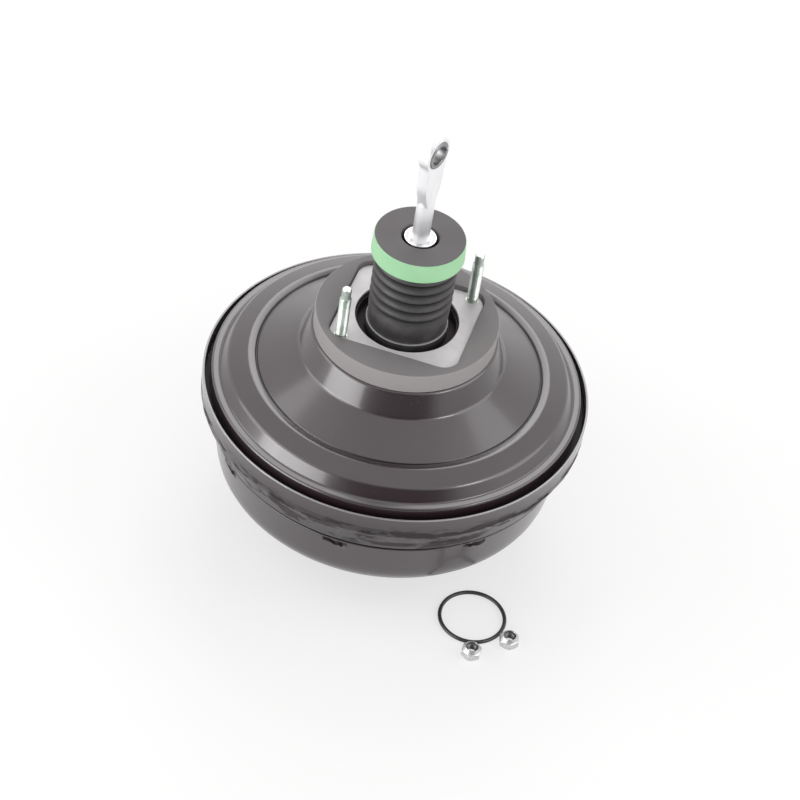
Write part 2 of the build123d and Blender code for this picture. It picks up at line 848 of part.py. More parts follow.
# Input rod: ball, neck, shaft, forged blade and eye
blade_z = eye_height - eye_blade_drop
with BuildPart() as input_rod:
    with Locations((0, 0, -ball_drop)):
        Sphere(ball_radius)
    with BuildSketch(Plane.XZ):
        add(
            ring_profile(
                [
                    (0.0, -ball_drop),
                    (rod_neck_radius, -ball_drop),
                    (rod_neck_radius, -rod_neck_top_drop),
                    (rod_radius, -rod_full_drop),
                    (rod_radius, blade_z - blade_lap),
                    (0.0, blade_z - blade_lap),
                ]
            )
        )
    revolve(axis=Axis.Z)
    blade_plane = Plane(
        origin=(0, 0, 0),
        x_dir=Vector(0, 1, 0).rotate(Axis.Z, eye_turn),
        z_dir=Vector(1, 0, 0).rotate(Axis.Z, eye_turn),
    )
    with BuildSketch(blade_plane.offset(-eye_wall / 2)):
        with Locations((0, eye_height)):
            Circle(eye_radius)
        with BuildLine():
            Polyline(
                (-rod_radius + blade_foot_inset, blade_z - blade_lap),
                (rod_radius - blade_foot_inset, blade_z - blade_lap),
                (eye_neck_half - blade_neck_inset, blade_z + blade_neck_rise),
                (eye_radius - blade_eye_inset, eye_height),
                (-eye_radius + blade_eye_inset, eye_height),
                (-eye_neck_half + blade_neck_inset, blade_z + blade_neck_rise),
                close=True,
            )
        make_face()
    extrude(amount=eye_wall)
    with BuildSketch(Plane.XY.offset(blade_z - root_drop)):
        Circle(rod_radius)
    extrude(amount=root_length, taper=root_taper)
    with BuildSketch(blade_plane.offset(-eye_wall)):
        with Locations((0, eye_height)):
            Circle(pin_radius + bush_wall + hole_gap)
    extrude(amount=2 * eye_wall, mode=Mode.SUBTRACT)
input_rod.part.label = "input_rod"
export_step(input_rod.part, "parts/input_rod.step")

# Split steel bush in the eye
with BuildPart() as eye_bush:
    with BuildSketch(blade_plane.offset(-bush_length / 2)):
        with Locations((0, eye_height)):
            Circle(pin_radius + bush_wall)
            Circle(pin_radius, mode=Mode.SUBTRACT)
        with Locations((pin_radius + bush_wall / 2, eye_height + bush_slot_lift)):
            Rectangle(2 * bush_wall, bush_slot, mode=Mode.SUBTRACT)
    extrude(amount=bush_length)
eye_bush.part.label = "eye_bush"
export_step(eye_bush.part, "parts/eye_bush.step")

# Bright turned cup round the rod at the boot's mouth
with BuildPart() as rod_cup:
    with BuildSketch(Plane.XZ):
        bore = rod_radius + hole_gap
        add(
            ring_profile(
                [
                    (bore, cup_level - cup_height),
                    (cup_radius - cup_foot_edge, cup_level - cup_height),
                    (cup_radius, cup_level - cup_height + cup_foot_edge),
                    (cup_radius, cup_level),
                    (cup_radius - cup_rim_wall, cup_level),
                    (bore, cup_level - cup_dish),
                ]
            )
        )
    revolve(axis=Axis.Z)
rod_cup.part.label = "rod_cup"
export_step(rod_cup.part, "parts/rod_cup.step")

# Washer on the rod that seats its return spring
with BuildPart() as rod_spring_washer:
    with BuildSketch(Plane.XZ):
        top = spring_washer_level + spring_washer_wall
        add(box_ring(rod_radius + hole_gap, spring_washer_radius, spring_washer_level, top))
    revolve(axis=Axis.Z)
    chamfer(rod_spring_washer.faces().sort_by(Axis.Z)[-1].edges(), washer_edge)
rod_spring_washer.part.label = "rod_spring_washer"
export_step(rod_spring_washer.part, "parts/rod_spring_washer.step")

# Rod return spring
with BuildPart() as rod_return_spring:
    low = sleeve_top_z + rod_wire + seat_clearance
    high = spring_washer_level - rod_wire - seat_clearance
    radius = spring_washer_radius - rod_spring_inset
    add(coil(radius, radius, low, high, rod_spring_turns, rod_wire))
rod_return_spring.part.label = "rod_return_spring"
export_step(rod_return_spring.part, "parts/rod_return_spring.step")

# Felt filter in the tail
with BuildPart() as air_filter:
    with BuildSketch(Plane.XZ):
        add(box_ring(rod_radius + filter_gap, tail_bore - seat_clearance, filter_z, filter_top_z))
    revolve(axis=Axis.Z)
air_filter.part.label = "air_filter"
export_step(air_filter.part, "parts/air_filter.step")

# Rear diaphragm plate, seated on the valve body's flange
plate_top_z = plate_flange_z + plate_wall
plate_rise_z = plate_top_z + rear_plate_rise
rear_plate_path = [
    (body_radius + hole_gap, plate_top_z),
    (rear_rib_foot, plate_top_z),
    (rear_rib_top, plate_rise_z),
    (rear_rib_end, plate_rise_z),
    (rear_rib_toe, plate_top_z),
    (rear_plate_radius - rear_plate_lip, plate_top_z),
    (rear_plate_radius, plate_top_z - rear_plate_lip_fall),
]
with BuildPart() as rear_plate:
    with BuildSketch(Plane.XZ):
        plate_bends = [rear_rib_bend] * 4 + [rear_lip_bend]
        add(sheet_profile(rear_plate_path, plate_bends, plate_wall, Side.RIGHT))
    revolve(axis=Axis.Z)
rear_plate.part.label = "rear_plate"
export_step(rear_plate.part, "parts/rear_plate.step")

# Rear diaphragm, over the plate, with its bead held under the rear cover's skirt
film_z = plate_top_z + film_lift
film_rise_z = plate_rise_z + film_lift
rear_film_path = [
    (body_radius + soft_gap, film_z),
    (rear_rib_foot, film_z),
    (rear_rib_top, film_rise_z),
    (rear_rib_end, film_rise_z),
    (rear_rib_toe, film_z),
    (rear_plate_radius + rear_film_reach, film_z),
    (cover_radius - sheet - rear_film_inset, skirt_z - rear_film_drop),
    (rear_bead_inner + rear_film_lap, skirt_z - rear_film_drop),
]
with BuildPart() as rear_diaphragm:
    with BuildSketch(Plane.XZ):
        film_bends = [rear_rib_bend] * 4 + [rear_film_top_bend, rear_film_foot_bend]
        add(sheet_profile(rear_film_path, film_bends, rubber_wall, Side.LEFT))
        bead_top = skirt_z - rear_bead_gap
        add(box_ring(rear_bead_inner, rear_bead_outer, bead_top - rear_bead_height, bead_top))
        lip_radius = body_radius + rear_hub_lip
        add(box_ring(body_radius + soft_gap, lip_radius, film_z, film_z + rear_hub_lip))
    revolve(axis=Axis.Z)
rear_diaphragm.part.label = "rear_diaphragm"
export_step(rear_diaphragm.part, "parts/rear_diaphragm.step")

# Divider between the two chambers
divider_path = [
    (divider_hole_radius, divider_floor_z),
    (divider_dish_radius, divider_floor_z),
    (divider_rise_radius, divider_flange_z),
    (divider_radius, divider_flange_z),
]
with BuildPart() as chamber_divider:
    with BuildSketch(Plane.XZ):
        add(sheet_profile(divider_path, divider_bends, divider_wall, Side.RIGHT))
    revolve(axis=Axis.Z)
chamber_divider.part.label = "chamber_divider"
export_step(chamber_divider.part, "parts/chamber_divider.step")

# Seal and bush in the divider, round the valve body's front hub
seal_mid_z = divider_floor_z - divider_wall / 2
seal_top_z = seal_mid_z + divider_seal_height / 2
seal_foot_z = seal_mid_z - divider_seal_height / 2
divider_bush_radius = front_hub_radius + running_gap + divider_bush_wall
with BuildPart() as divider_seal:
    with BuildSketch(Plane.XZ):
        add(
            ring_profile(
                [
                    (front_hub_radius + soft_gap, seal_foot_z),
                    (divider_seal_radius - divider_seal_edge, seal_foot_z),
                    (divider_seal_radius, seal_foot_z + divider_seal_edge),
                    (divider_seal_radius, divider_floor_z - divider_wall),
                    (divider_hole_radius - hole_gap, divider_floor_z - divider_wall),
                    (divider_hole_radius - hole_gap, divider_floor_z),
                    (divider_seal_radius, divider_floor_z),
                    (divider_seal_radius, seal_top_z - divider_seal_edge),
                    (divider_seal_radius - divider_seal_edge, seal_top_z),
                    (front_hub_radius + soft_gap, seal_top_z),
                    (front_hub_radius + soft_gap, seal_mid_z + divider_bush_height / 2),
                    (divider_bush_radius, seal_mid_z + divider_bush_height / 2),
                    (divider_bush_radius, seal_mid_z - divider_bush_height / 2),
                    (front_hub_radius + soft_gap, seal_mid_z - divider_bush_height / 2),
                ]
            )
        )
    revolve(axis=Axis.Z)
divider_seal.part.label = "divider_seal"
export_step(divider_seal.part, "parts/divider_seal.step")

with BuildPart() as divider_bush:
    with BuildSketch(Plane.XZ):
        half = divider_bush_height / 2
        bush_bore = front_hub_radius + running_gap
        add(box_ring(bush_bore, divider_bush_radius, seal_mid_z - half, seal_mid_z + half))
    revolve(axis=Axis.Z)
divider_bush.part.label = "divider_bush"
export_step(divider_bush.part, "parts/divider_bush.step")

# Front diaphragm plate on the nose of the valve body, and the ring that holds it
front_plate_z = -front_hub_drop
with BuildPart() as front_plate:
    front_plate_path = [
        (nose_radius + hole_gap, front_plate_z),
        (front_rib_foot, front_plate_z),
        (front_rib_foot + front_rib_slope, front_plate_z - front_rib_depth),
        (front_rib_end - front_rib_slope, front_plate_z - front_rib_depth),
        (front_rib_end, front_plate_z),
        (front_plate_radius, front_plate_z),
    ]
    with BuildSketch(Plane.XZ):
        add(sheet_profile(front_plate_path, [front_rib_bend] * 4, plate_wall, Side.RIGHT))
    revolve(axis=Axis.Z)
front_plate.part.label = "front_plate"
export_step(front_plate.part, "parts/front_plate.step")

ring_top_z = front_plate_z - plate_wall
with BuildPart() as plate_ring:
    with BuildSketch(Plane.XZ):
        ring_foot_z = ring_top_z - plate_ring_height
        ring_radius = nose_radius + plate_ring_width
        add(box_ring(nose_radius + hole_gap, ring_radius, ring_foot_z, ring_top_z))
    revolve(axis=Axis.Z)
    chamfer(plate_ring.faces().sort_by(Axis.Z)[0].edges(), plate_ring_edge)
plate_ring.part.label = "plate_ring"
export_step(plate_ring.part, "parts/plate_ring.step")

# Front diaphragm, over its plate, with its bead carried by the lances
front_film_z = front_plate_z + front_film_lift
front_bead_foot_z = lance_z + front_bead_lift
fold_z = front_film_z - front_film_fold_depth
front_film_path = [
    (front_hub_radius + soft_gap, front_film_z + rubber_wall),
    (front_plate_radius + front_film_reach, front_film_z + rubber_wall),
    (front_plate_radius + front_film_fold, fold_z),
    (front_plate_radius + front_film_fold_end, fold_z),
    (front_bead_inner - front_film_end_inset, front_bead_foot_z + front_film_end_rise),
]
with BuildPart() as front_diaphragm:
    with BuildSketch(Plane.XZ):
        add(sheet_profile(front_film_path, front_film_bends, rubber_wall, Side.RIGHT))
        bead_top = front_bead_foot_z + front_bead_height
        add(box_ring(front_bead_inner, front_bead_outer, front_bead_foot_z, bead_top))
    revolve(axis=Axis.Z)
front_diaphragm.part.label = "front_diaphragm"
export_step(front_diaphragm.part, "parts/front_diaphragm.step")

# Reaction disc, output rod, its retainer and its tip
with BuildPart() as reaction_disc:
    with BuildSketch(Plane.XY.offset(reaction_z - reaction_disc_wall)):
        Circle(reaction_radius)
    extrude(amount=reaction_disc_wall)
reaction_disc.part.label = "reaction_disc"
export_step(reaction_disc.part, "parts/reaction_disc.step")

output_head_z = reaction_z - reaction_disc_wall
output_shank_z = output_head_z - output_head_wall
output_foot_z = output_shank_z - output_length
with BuildPart() as output_rod:
    with BuildSketch(Plane.XZ):
        add(
            ring_profile(
                [
                    (0.0, output_foot_z),
                    (output_radius - output_edge, output_foot_z),
                    (output_radius, output_foot_z + output_edge),
                    (output_radius, output_shank_z),
                    (reaction_radius - output_head_gap, output_shank_z),
                    (reaction_radius - output_head_gap, output_head_z),
                    (0.0, output_head_z),
                ]
            )
        )
    revolve(axis=Axis.Z)
    with BuildSketch(Plane.XY.offset(output_foot_z)):
        Circle(output_tip_radius - output_tip_hold + hole_gap)
    extrude(amount=output_tip_length, mode=Mode.SUBTRACT)
output_rod.part.label = "output_rod"
export_step(output_rod.part, "parts/output_rod.step")

with BuildPart() as output_retainer:
    with BuildSketch(Plane.XZ):
        washer_bore = output_radius + output_washer_gap
        washer_foot_z = output_shank_z - output_washer_wall
        add(box_ring(washer_bore, reaction_radius, washer_foot_z, output_shank_z))
    revolve(axis=Axis.Z)
output_retainer.part.label = "output_retainer"
export_step(output_retainer.part, "parts/output_retainer.step")

with BuildPart() as output_tip:
    with BuildSketch(Plane.XY.offset(output_foot_z)):
        Circle(output_tip_radius - output_tip_hold)
    extrude(amount=output_tip_length - output_tip_play)
    with BuildSketch(Plane.XY.offset(output_foot_z - output_tip_radius)):
        RegularPolygon(output_tip_radius, 6)
    extrude(amount=output_tip_radius)
    with Locations((0, 0, output_foot_z - output_tip_radius)):
        Sphere(output_tip_radius - output_tip_hold)
output_tip.part.label = "output_tip"
export_step(output_tip.part, "parts/output_tip.step")

# Engine side: stiffener, master cylinder studs, spring seat, return spring and vacuum port
stiffener_z = pad_z + sheet
stiffener_top_z = stiffener_z + stiffener_wall
with BuildPart() as front_stiffener:
    with BuildSketch(Plane.XY.offset(stiffener_z)):
        Circle(stiffener_radius)
        Circle(main_bore_radius, mode=Mode.SUBTRACT)
        with PolarLocations(main_stud_spacing / 2, 2):
            Circle(shank_radius + hole_gap, mode=Mode.SUBTRACT)
    extrude(amount=stiffener_wall)
front_stiffener.part.label = "front_stiffener"
export_step(front_stiffener.part, "parts/front_stiffener.step")

with BuildPart() as main_studs:
    with BuildSketch(Plane.XY.offset(stiffener_top_z)):
        with PolarLocations(main_stud_spacing / 2, 2):
            Circle(main_head_radius)
    extrude(amount=main_head_height)
    with BuildSketch(Plane.XY.offset(pad_z)):
        with PolarLocations(main_stud_spacing / 2, 2):
            Circle(shank_radius)
    extrude(amount=stiffener_top_z - pad_z)
    with BuildSketch(Plane.XY.offset(stud_tip_z)):
        with PolarLocations(main_stud_spacing / 2, 2):
            Circle(thread_radius)
    extrude(amount=pad_z - stud_tip_z)
    chamfer(main_studs.faces().sort_by(Axis.Z)[:2].edges(), thread_edge)
main_studs.part.label = "main_studs"
export_step(main_studs.part, "parts/main_studs.step")

with BuildPart() as spring_seat:
    with BuildSketch(Plane.XZ):
        seat_inner = main_bore_radius + spring_seat_gap
        seat_outer = spring_foot_radius + 2 * spring_wire
        top = stiffener_top_z + spring_seat_wall
        add(box_ring(seat_inner, seat_outer, stiffener_top_z, top))
        collar_top = top + spring_seat_collar
        add(box_ring(seat_inner, seat_inner + spring_seat_wall, top, collar_top))
    revolve(axis=Axis.Z)
spring_seat.part.label = "spring_seat"
export_step(spring_seat.part, "parts/spring_seat.step")

with BuildPart() as return_spring:
    low = stiffener_top_z + spring_seat_wall + spring_wire + seat_clearance
    high = ring_top_z - spring_wire - seat_clearance
    add(coil(spring_foot_radius, spring_top_radius, low, high, spring_turns, spring_wire))
return_spring.part.label = "return_spring"
export_step(return_spring.part, "parts/return_spring.step")

port_low = floor_z - port_outer_height
port_high = floor_z + sheet + port_inner_height
port_point = Vector(port_circle, 0, 0).rotate(Axis.Z, port_angle)
with BuildPart() as vacuum_grommet:
    with BuildSketch(Plane(origin=port_point, x_dir=(1, 0, 0), z_dir=(0, -1, 0))):
        body = port_hole_radius - seat_clearance
        add(
            ring_profile(
                [
                    (port_bore_radius, port_low - port_nozzle_height),
                    (port_bore_radius + port_nozzle_wall, port_low - port_nozzle_height),
                    (port_bore_radius + port_nozzle_wall + port_nozzle_flare, port_low),
                    (port_flange_radius, port_low),
                    (port_flange_radius, floor_z - seat_clearance),
                    (body, floor_z - seat_clearance),
                    (body, floor_z + sheet + seat_clearance),
                    (body + port_lip, floor_z + sheet + seat_clearance),
                    (body + port_lip - port_lip_slope, port_high),
                    (port_bore_radius, port_high),
                ]
            )
        )
    revolve(axis=Axis(port_point, (0, 0, 1)))
vacuum_grommet.part.label = "vacuum_grommet"
export_step(vacuum_grommet.part, "parts/vacuum_grommet.step")


def loose_point(place):
    """Floor point beside the booster, turned into the stud line's frame."""
    return Vector(*place).rotate(Axis.Z, loose_turn)


# O-ring for the master cylinder's spigot, loose on the floor
with BuildPart() as spigot_o_ring:
    spot = loose_point(o_ring_place)
    with Locations((spot.X, spot.Y, stud_tip_z + o_ring_section)):
        Torus(o_ring_radius, o_ring_section)
spigot_o_ring.part.label = "spigot_o_ring"
export_step(spigot_o_ring.part, "parts/spigot_o_ring.step")


def lock_nut(place, turn):
    """Self-locking hexagon nut standing on the floor at a place."""
    spot = loose_point(place)
    foot = Plane(origin=(spot.X, spot.Y, stud_tip_z))
    with BuildPart() as nut:
        with BuildSketch(foot):
            RegularPolygon(nut_across_flats / 2, 6, major_radius=False, rotation=turn)
        extrude(amount=nut_hex_height)
        with BuildSketch(foot.offset(nut_hex_height)):
            Circle(nut_collar_foot)
        slope = degrees(atan2(nut_collar_foot - nut_collar_top, nut_collar_height))
        extrude(amount=nut_collar_height, taper=slope)
        with BuildSketch(foot):
            Circle(nut_hole_radius)
        extrude(amount=nut_hex_height + nut_collar_height, mode=Mode.SUBTRACT)
    return nut.part


# Two loose nuts of the bulkhead studs
with BuildPart() as lock_nut_1:
    add(lock_nut(nut_places[0], nut_turns[0]))
lock_nut_1.part.label = "lock_nut_1"
export_step(lock_nut_1.part, "parts/lock_nut_1.step")

with BuildPart() as lock_nut_2:
    add(lock_nut(nut_places[1], nut_turns[1]))
lock_nut_2.part.label = "lock_nut_2"
export_step(lock_nut_2.part, "parts/lock_nut_2.step")
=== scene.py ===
"""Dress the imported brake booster: smooth pressed shells, boot, push rod, loose parts and studio."""

import json
import logging
import math
from abc import ABC, abstractmethod
from dataclasses import dataclass
from enum import Enum
from typing import Callable, Mapping, Sequence

import bmesh
import bpy
from mathutils import Matrix, Vector


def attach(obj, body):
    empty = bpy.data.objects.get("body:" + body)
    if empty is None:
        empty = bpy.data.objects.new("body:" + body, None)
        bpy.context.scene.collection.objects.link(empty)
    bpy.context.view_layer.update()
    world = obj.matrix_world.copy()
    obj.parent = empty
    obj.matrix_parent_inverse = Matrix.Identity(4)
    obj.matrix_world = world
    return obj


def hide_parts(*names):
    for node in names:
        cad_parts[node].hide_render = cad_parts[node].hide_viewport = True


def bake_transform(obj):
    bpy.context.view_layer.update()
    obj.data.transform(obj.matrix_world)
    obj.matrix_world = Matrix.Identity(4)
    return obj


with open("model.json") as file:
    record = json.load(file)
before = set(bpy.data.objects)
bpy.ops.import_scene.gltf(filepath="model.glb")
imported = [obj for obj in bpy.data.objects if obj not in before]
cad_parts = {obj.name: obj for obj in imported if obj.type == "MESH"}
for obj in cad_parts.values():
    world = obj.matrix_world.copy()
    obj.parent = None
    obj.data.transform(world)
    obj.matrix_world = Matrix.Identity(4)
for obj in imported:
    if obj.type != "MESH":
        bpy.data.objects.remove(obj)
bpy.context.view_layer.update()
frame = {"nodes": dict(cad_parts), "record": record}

LOG = logging.getLogger("booster")
MM = 0.001
Point = tuple[float, float]
Triple = tuple[float, float, float]
Radius = float | Callable[[float], float]
Shift = Callable[[float, float, float], Point]
Socket = bpy.types.NodeSocket
Sockets = dict[int | str, object]

# Angle in degrees over which an edge stays sharp: shells, machined parts, ribs and threads, nuts.
SHELL_CREASE = 34.0
MACHINED_CREASE = 40.0
RIBBED_CREASE = 50.0
NUT_CREASE = 32.0

# Depth of a fine surface relief, and distance over which points merge, both in metres.
FINE = 0.0001
MERGE = 1e-7


class Body(Enum):
    """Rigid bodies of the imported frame."""

    HOUSING = "housing"
    PISTON = "power_piston"
    PLUNGER = "control_plunger"
    ROD = "push_rod"
    O_RING = "loose_o_ring"
    NUT_1 = "loose_nut_1"
    NUT_2 = "loose_nut_2"


class Slot(Enum):
    """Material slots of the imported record."""

    SHELL = "shell_paint"
    PLATE = "bare_plate"
    GASKET = "gasket_foam"
    ZINC = "zinc"
    FORGING = "bright_forging"
    CUP = "turned_cup"
    BUSH = "bush_steel"
    BOOT = "boot_rubber"
    SEAL = "seal_rubber"
    FILM = "diaphragm_rubber"
    BAND = "green_band"
    FOAM = "dark_foam"
    FELT = "felt"
    PHENOLIC = "phenolic"
    NYLON = "white_plastic"
    SHEET = "plated_sheet"
    WIRE = "spring_steel"


class Nodes:
    """A node tree and the one method that adds its nodes."""

    def __init__(self, tree: bpy.types.NodeTree) -> None:
        """Take a tree."""
        self.tree = tree

    def node(
        self, kind: str, settings: Mapping[str, object], sockets: Mapping[int | str, object]
    ) -> bpy.types.Node:
        """Add a node.

        Args:
            kind: the node's type.
            settings: its properties, which are set first.
            sockets: values or links of its inputs.

        Returns:
            The new node.
        """
        node = self.tree.nodes.new(kind)
        for key, value in settings.items():
            setattr(node, key, value)
        for key, value in sockets.items():
            target = node.inputs[key]
            if isinstance(value, Sock):
                self.tree.links.new(value.socket, target)
            elif isinstance(value, Socket):
                self.tree.links.new(value, target)
            elif isinstance(value, tuple) and target.type == "RGBA":
                target.default_value = (*value, 1.0)
            else:
                target.default_value = value
        return node

    def maths(self, operation: str, *values: object) -> Socket:
        """Add one Math node and give its output."""
        return self.node("ShaderNodeMath", {"operation": operation}, dict(enumerate(values))).outputs[0]


class Sock:
    """A value socket on which Python arithmetic adds Math nodes."""

    def __init__(self, graph: "Graph", socket: Socket) -> None:
        """Wrap a socket of a graph."""
        self.graph = graph
        self.socket = socket

    def _math(self, operation: str, first: object, second: object) -> "Sock":
        """Result of one Math node on two values."""
        return Sock(self.graph, self.graph.maths(operation, first, second))

    def __add__(self, other: object) -> "Sock":
        """Sum."""
        return self._math("ADD", self, other)

    __radd__ = __add__

    def __mul__(self, other: object) -> "Sock":
        """Product."""
        return self._math("MULTIPLY", self, other)

    __rmul__ = __mul__

    def __sub__(self, other: object) -> "Sock":
        """Difference."""
        return self._math("SUBTRACT", self, other)

    def __rsub__(self, other: object) -> "Sock":
        """Reflected difference."""
        return self._math("SUBTRACT", other, self)

    def __pow__(self, other: object) -> "Sock":
        """Power."""
        return self._math("POWER", self, other)

    def sine(self) -> "Sock":
        """Sine of the value."""
        return self._math("SINE", self, 0.0)


@dataclass(frozen=True)
class Grain:
    """A noise: cells in a metre, octaves, weight of the finer octaves, and the coordinates' stretch."""

    scale: float
    detail: float = 3.0
    rough: float = 0.5
    stretch: Triple | None = None


class Graph(Nodes):
    """The shader nodes of one material, or of the world."""

    def __init__(self, owner: bpy.types.ID, ending: str = "ShaderNodeOutputMaterial") -> None:
        """Empty the owner's tree and give it an output.

        Args:
            owner: the material or the world.
            ending: type of the output node.
        """
        owner.use_nodes = True
        super().__init__(owner.node_tree)
        self.tree.nodes.clear()
        self.output = self.tree.nodes.new(ending)

    def close(self, shader: Socket) -> None:
        """Link a shader to the output."""
        self.tree.links.new(shader, self.output.inputs["Surface"])

    def place(self) -> Socket:
        """Object coordinates."""
        return self.node("ShaderNodeTexCoord", {}, {}).outputs["Object"]

    def around(self, place: Socket, centre: Point = (0.0, 0.0)) -> tuple[Sock, Sock]:
        """Distance from an upright axis, and the level.

        Args:
            place: coordinates.
            centre: the axis's place in metres.

        Returns:
            The distance and the level.
        """
        split = self.node("ShaderNodeSeparateXYZ", {}, {0: place}).outputs
        x, y = (Sock(self, split[i]) - centre[i] for i in range(2))
        return (x * x + y * y) ** 0.5, Sock(self, split[2])

    def noise(self, place: Socket, grain: Grain) -> Sock:
        """Smooth noise from 0 to 1."""
        if grain.stretch is not None:
            place = self.node("ShaderNodeMapping", {}, {"Vector": place, "Scale": grain.stretch}).outputs[0]
        sockets = {"Vector": place, "Scale": grain.scale, "Detail": grain.detail, "Roughness": grain.rough}
        return Sock(self, self.node("ShaderNodeTexNoise", {}, sockets).outputs["Fac"])

    def cells(self, place: Socket, scale: float) -> Sock:
        """Distance to the nearest random point, of so many in a metre."""
        points = self.node("ShaderNodeTexVoronoi", {}, {"Vector": place, "Scale": scale})
        return Sock(self, points.outputs["Distance"])

    def band(self, value: Sock, low: float, high: float) -> Sock:
        """Value stretched from a range to 0 and 1 and held there."""
        sockets = {"Value": value, "From Min": low, "From Max": high}
        return Sock(self, self.node("ShaderNodeMapRange", {"clamp": True}, sockets).outputs[0])

    def blend(self, factor: Sock, first: object, second: object) -> Socket:
        """Colour between two colours or links, the first at 0 and the second at 1."""
        return self.node("ShaderNodeMix", {"data_type": "RGBA"}, {0: factor, 6: first, 7: second}).outputs[2]

    def bump(self, height: Sock, strength: float, distance: float, under: Socket | None = None) -> Socket:
        """Normal from a height.

        Args:
            height: height from 0 to 1.
            strength: weight of the relief.
            distance: height in metres.
            under: a normal to start from.

        Returns:
            The new normal.
        """
        sockets = {"Strength": strength, "Distance": distance, "Height": height}
        if under is not None:
            sockets["Normal"] = under
        return self.node("ShaderNodeBump", {}, sockets).outputs[0]


@dataclass(frozen=True)
class Finish(ABC):
    """One finish of the booster."""

    name: str

    @abstractmethod
    def sockets(self, graph: Graph) -> Sockets:
        """Values and links of the shader's inputs."""

    def shader(self, graph: Graph) -> Socket:
        """The finish's shader."""
        return graph.node("ShaderNodeBsdfPrincipled", {}, self.sockets(graph)).outputs[0]

    def make(self) -> bpy.types.Material:
        """Make the material once, or find it."""
        title = f"{self.name}_finish"
        material = bpy.data.materials.get(title)
        if material is None:
            material = bpy.data.materials.new(title)
            graph = Graph(material)
            graph.close(self.shader(graph))
        return material


@dataclass(frozen=True)
class ShellEnamel(Finish):
    """Gloss black enamel on pressed steel, slightly uneven, with pairs that run from none to full."""

    deep: Triple = (0.022, 0.011, 0.015)
    worn: Triple = (0.032, 0.020, 0.024)
    cloud: Grain = Grain(14.0, 4.0)
    cloud_span: Point = (0.35, 0.7)
    roughness: float = 0.32
    unevenness: float = 0.12
    coat_roughness: float = 0.14
    specular: float = 0.62
    wave: Grain = Grain(26.0, 2.0)
    wave_relief: Point = (0.10, 0.0012)
    peel: Grain = Grain(900.0, 2.0)
    peel_relief: Point = (0.05, 0.0002)
    recess_radius: Point = (0.0360, 0.0364)
    recess_roughness: float = 0.4
    crumple: Grain = Grain(19.0, 2.5, 0.55, (1.0, 1.0, 1.5))
    crumple_top: Point = (-0.070, -0.078)
    crumple_foot: Point = (-0.099, -0.093)
    crumple_radius: Point = (0.124, 0.127)
    crumple_relief: Point = (1.0, 0.028)
    rub: Grain = Grain(42.0, 3.0, 0.6, (1.0, 1.0, 3.4))
    rub_span: Point = (0.50, 0.56)
    rub_top: Point = (-0.066, -0.072)
    rub_foot: Point = (-0.099, -0.094)
    rub_roughness: float = 0.3
    # Painted shade along the groove at the foot of the dish: its radius band, level, core and colour.
    groove_shade_inside: Point = (0.0987, 0.0998)
    groove_shade_outside: Point = (0.1009, 0.0998)
    groove_shade_level: Point = (-0.050, -0.048)
    groove_shade_core: Point = (0.0, 0.5)
    groove_shade_colour: Triple = (0.006, 0.005, 0.005)
    # Painted highlight along the top edge of the collar's rim: its radius band, level and pale colour.
    rim_highlight_radius: Point = (0.1342, 0.1345)
    rim_highlight_level: Point = (-0.0604, -0.0601)
    rim_highlight_colour: Triple = (0.24, 0.23, 0.23)
    cover_level: Point = (-0.068, -0.062)
    casing_coat: float = 0.7
    dust_cells: float = 260.0
    dust_spots: Point = (0.10, 0.05)
    dust_cloud: Grain = Grain(55.0)
    dust_span: Point = (0.52, 0.70)
    dust_colour: Triple = (0.32, 0.31, 0.31)
    dust_share: float = 0.35
    dust_roughness: float = 0.2
    dust_dulling: float = 0.8

    def sockets(self, graph: Graph) -> Sockets:
        """Cloudy colour, waves, a crumpled band under the crimp, a dull hub recess, orange peel, dust, painted
        shade in the groove and a painted highlight on the collar's rim.
        """
        place = graph.place()
        radius, level = graph.around(place)
        open_air = graph.band(radius, *self.recess_radius)
        under = graph.band(level, *self.crumple_top) * graph.band(level, *self.crumple_foot)
        crumple = graph.noise(place, self.crumple) * under * graph.band(radius, *self.crumple_radius)
        # Painted shade in the groove.
        groove_shade = graph.band(radius, *self.groove_shade_inside) * graph.band(radius, *self.groove_shade_outside)
        groove_shade = groove_shade * graph.band(level, *self.groove_shade_level)
        # Painted highlight on the collar's rim.
        rim = graph.band(radius, *self.rim_highlight_radius) * graph.band(level, *self.rim_highlight_level)
        rubbed = graph.band(graph.noise(place, self.rub), *self.rub_span)
        rubbed = rubbed * graph.band(level, *self.rub_top) * graph.band(level, *self.rub_foot)
        cloud = graph.noise(place, self.cloud)
        dust = graph.band(graph.cells(place, self.dust_cells), *self.dust_spots)
        dust = dust * graph.band(graph.noise(place, self.dust_cloud), *self.dust_span)
        colour = graph.blend(graph.band(cloud, *self.cloud_span), self.deep, self.worn)
        # Painted shade in the groove.
        colour = graph.blend(graph.band(groove_shade, *self.groove_shade_core), colour, self.groove_shade_colour)
        # Painted highlight on the collar's rim.
        colour = graph.blend(rim, colour, self.rim_highlight_colour)
        normal = graph.bump(graph.noise(place, self.wave), *self.wave_relief)
        normal = graph.bump(crumple, *self.crumple_relief, normal)
        rough = cloud * self.unevenness + self.roughness + dust * self.dust_roughness
        coat = graph.band(level, *self.cover_level) * (1.0 - self.casing_coat) + self.casing_coat
        return {
            "Base Color": graph.blend(dust * self.dust_share, colour, self.dust_colour),
            "Roughness": rough + (1.0 - open_air) * self.recess_roughness + rubbed * self.rub_roughness,
            "Coat Weight": (1.0 - dust * self.dust_dulling) * open_air * (1.0 - groove_shade) * coat * (1.0 - rubbed),
            "Coat Roughness": self.coat_roughness,
            "Specular IOR Level": self.specular,
            "Normal": graph.bump(graph.noise(place, self.peel), *self.peel_relief, normal),
        }


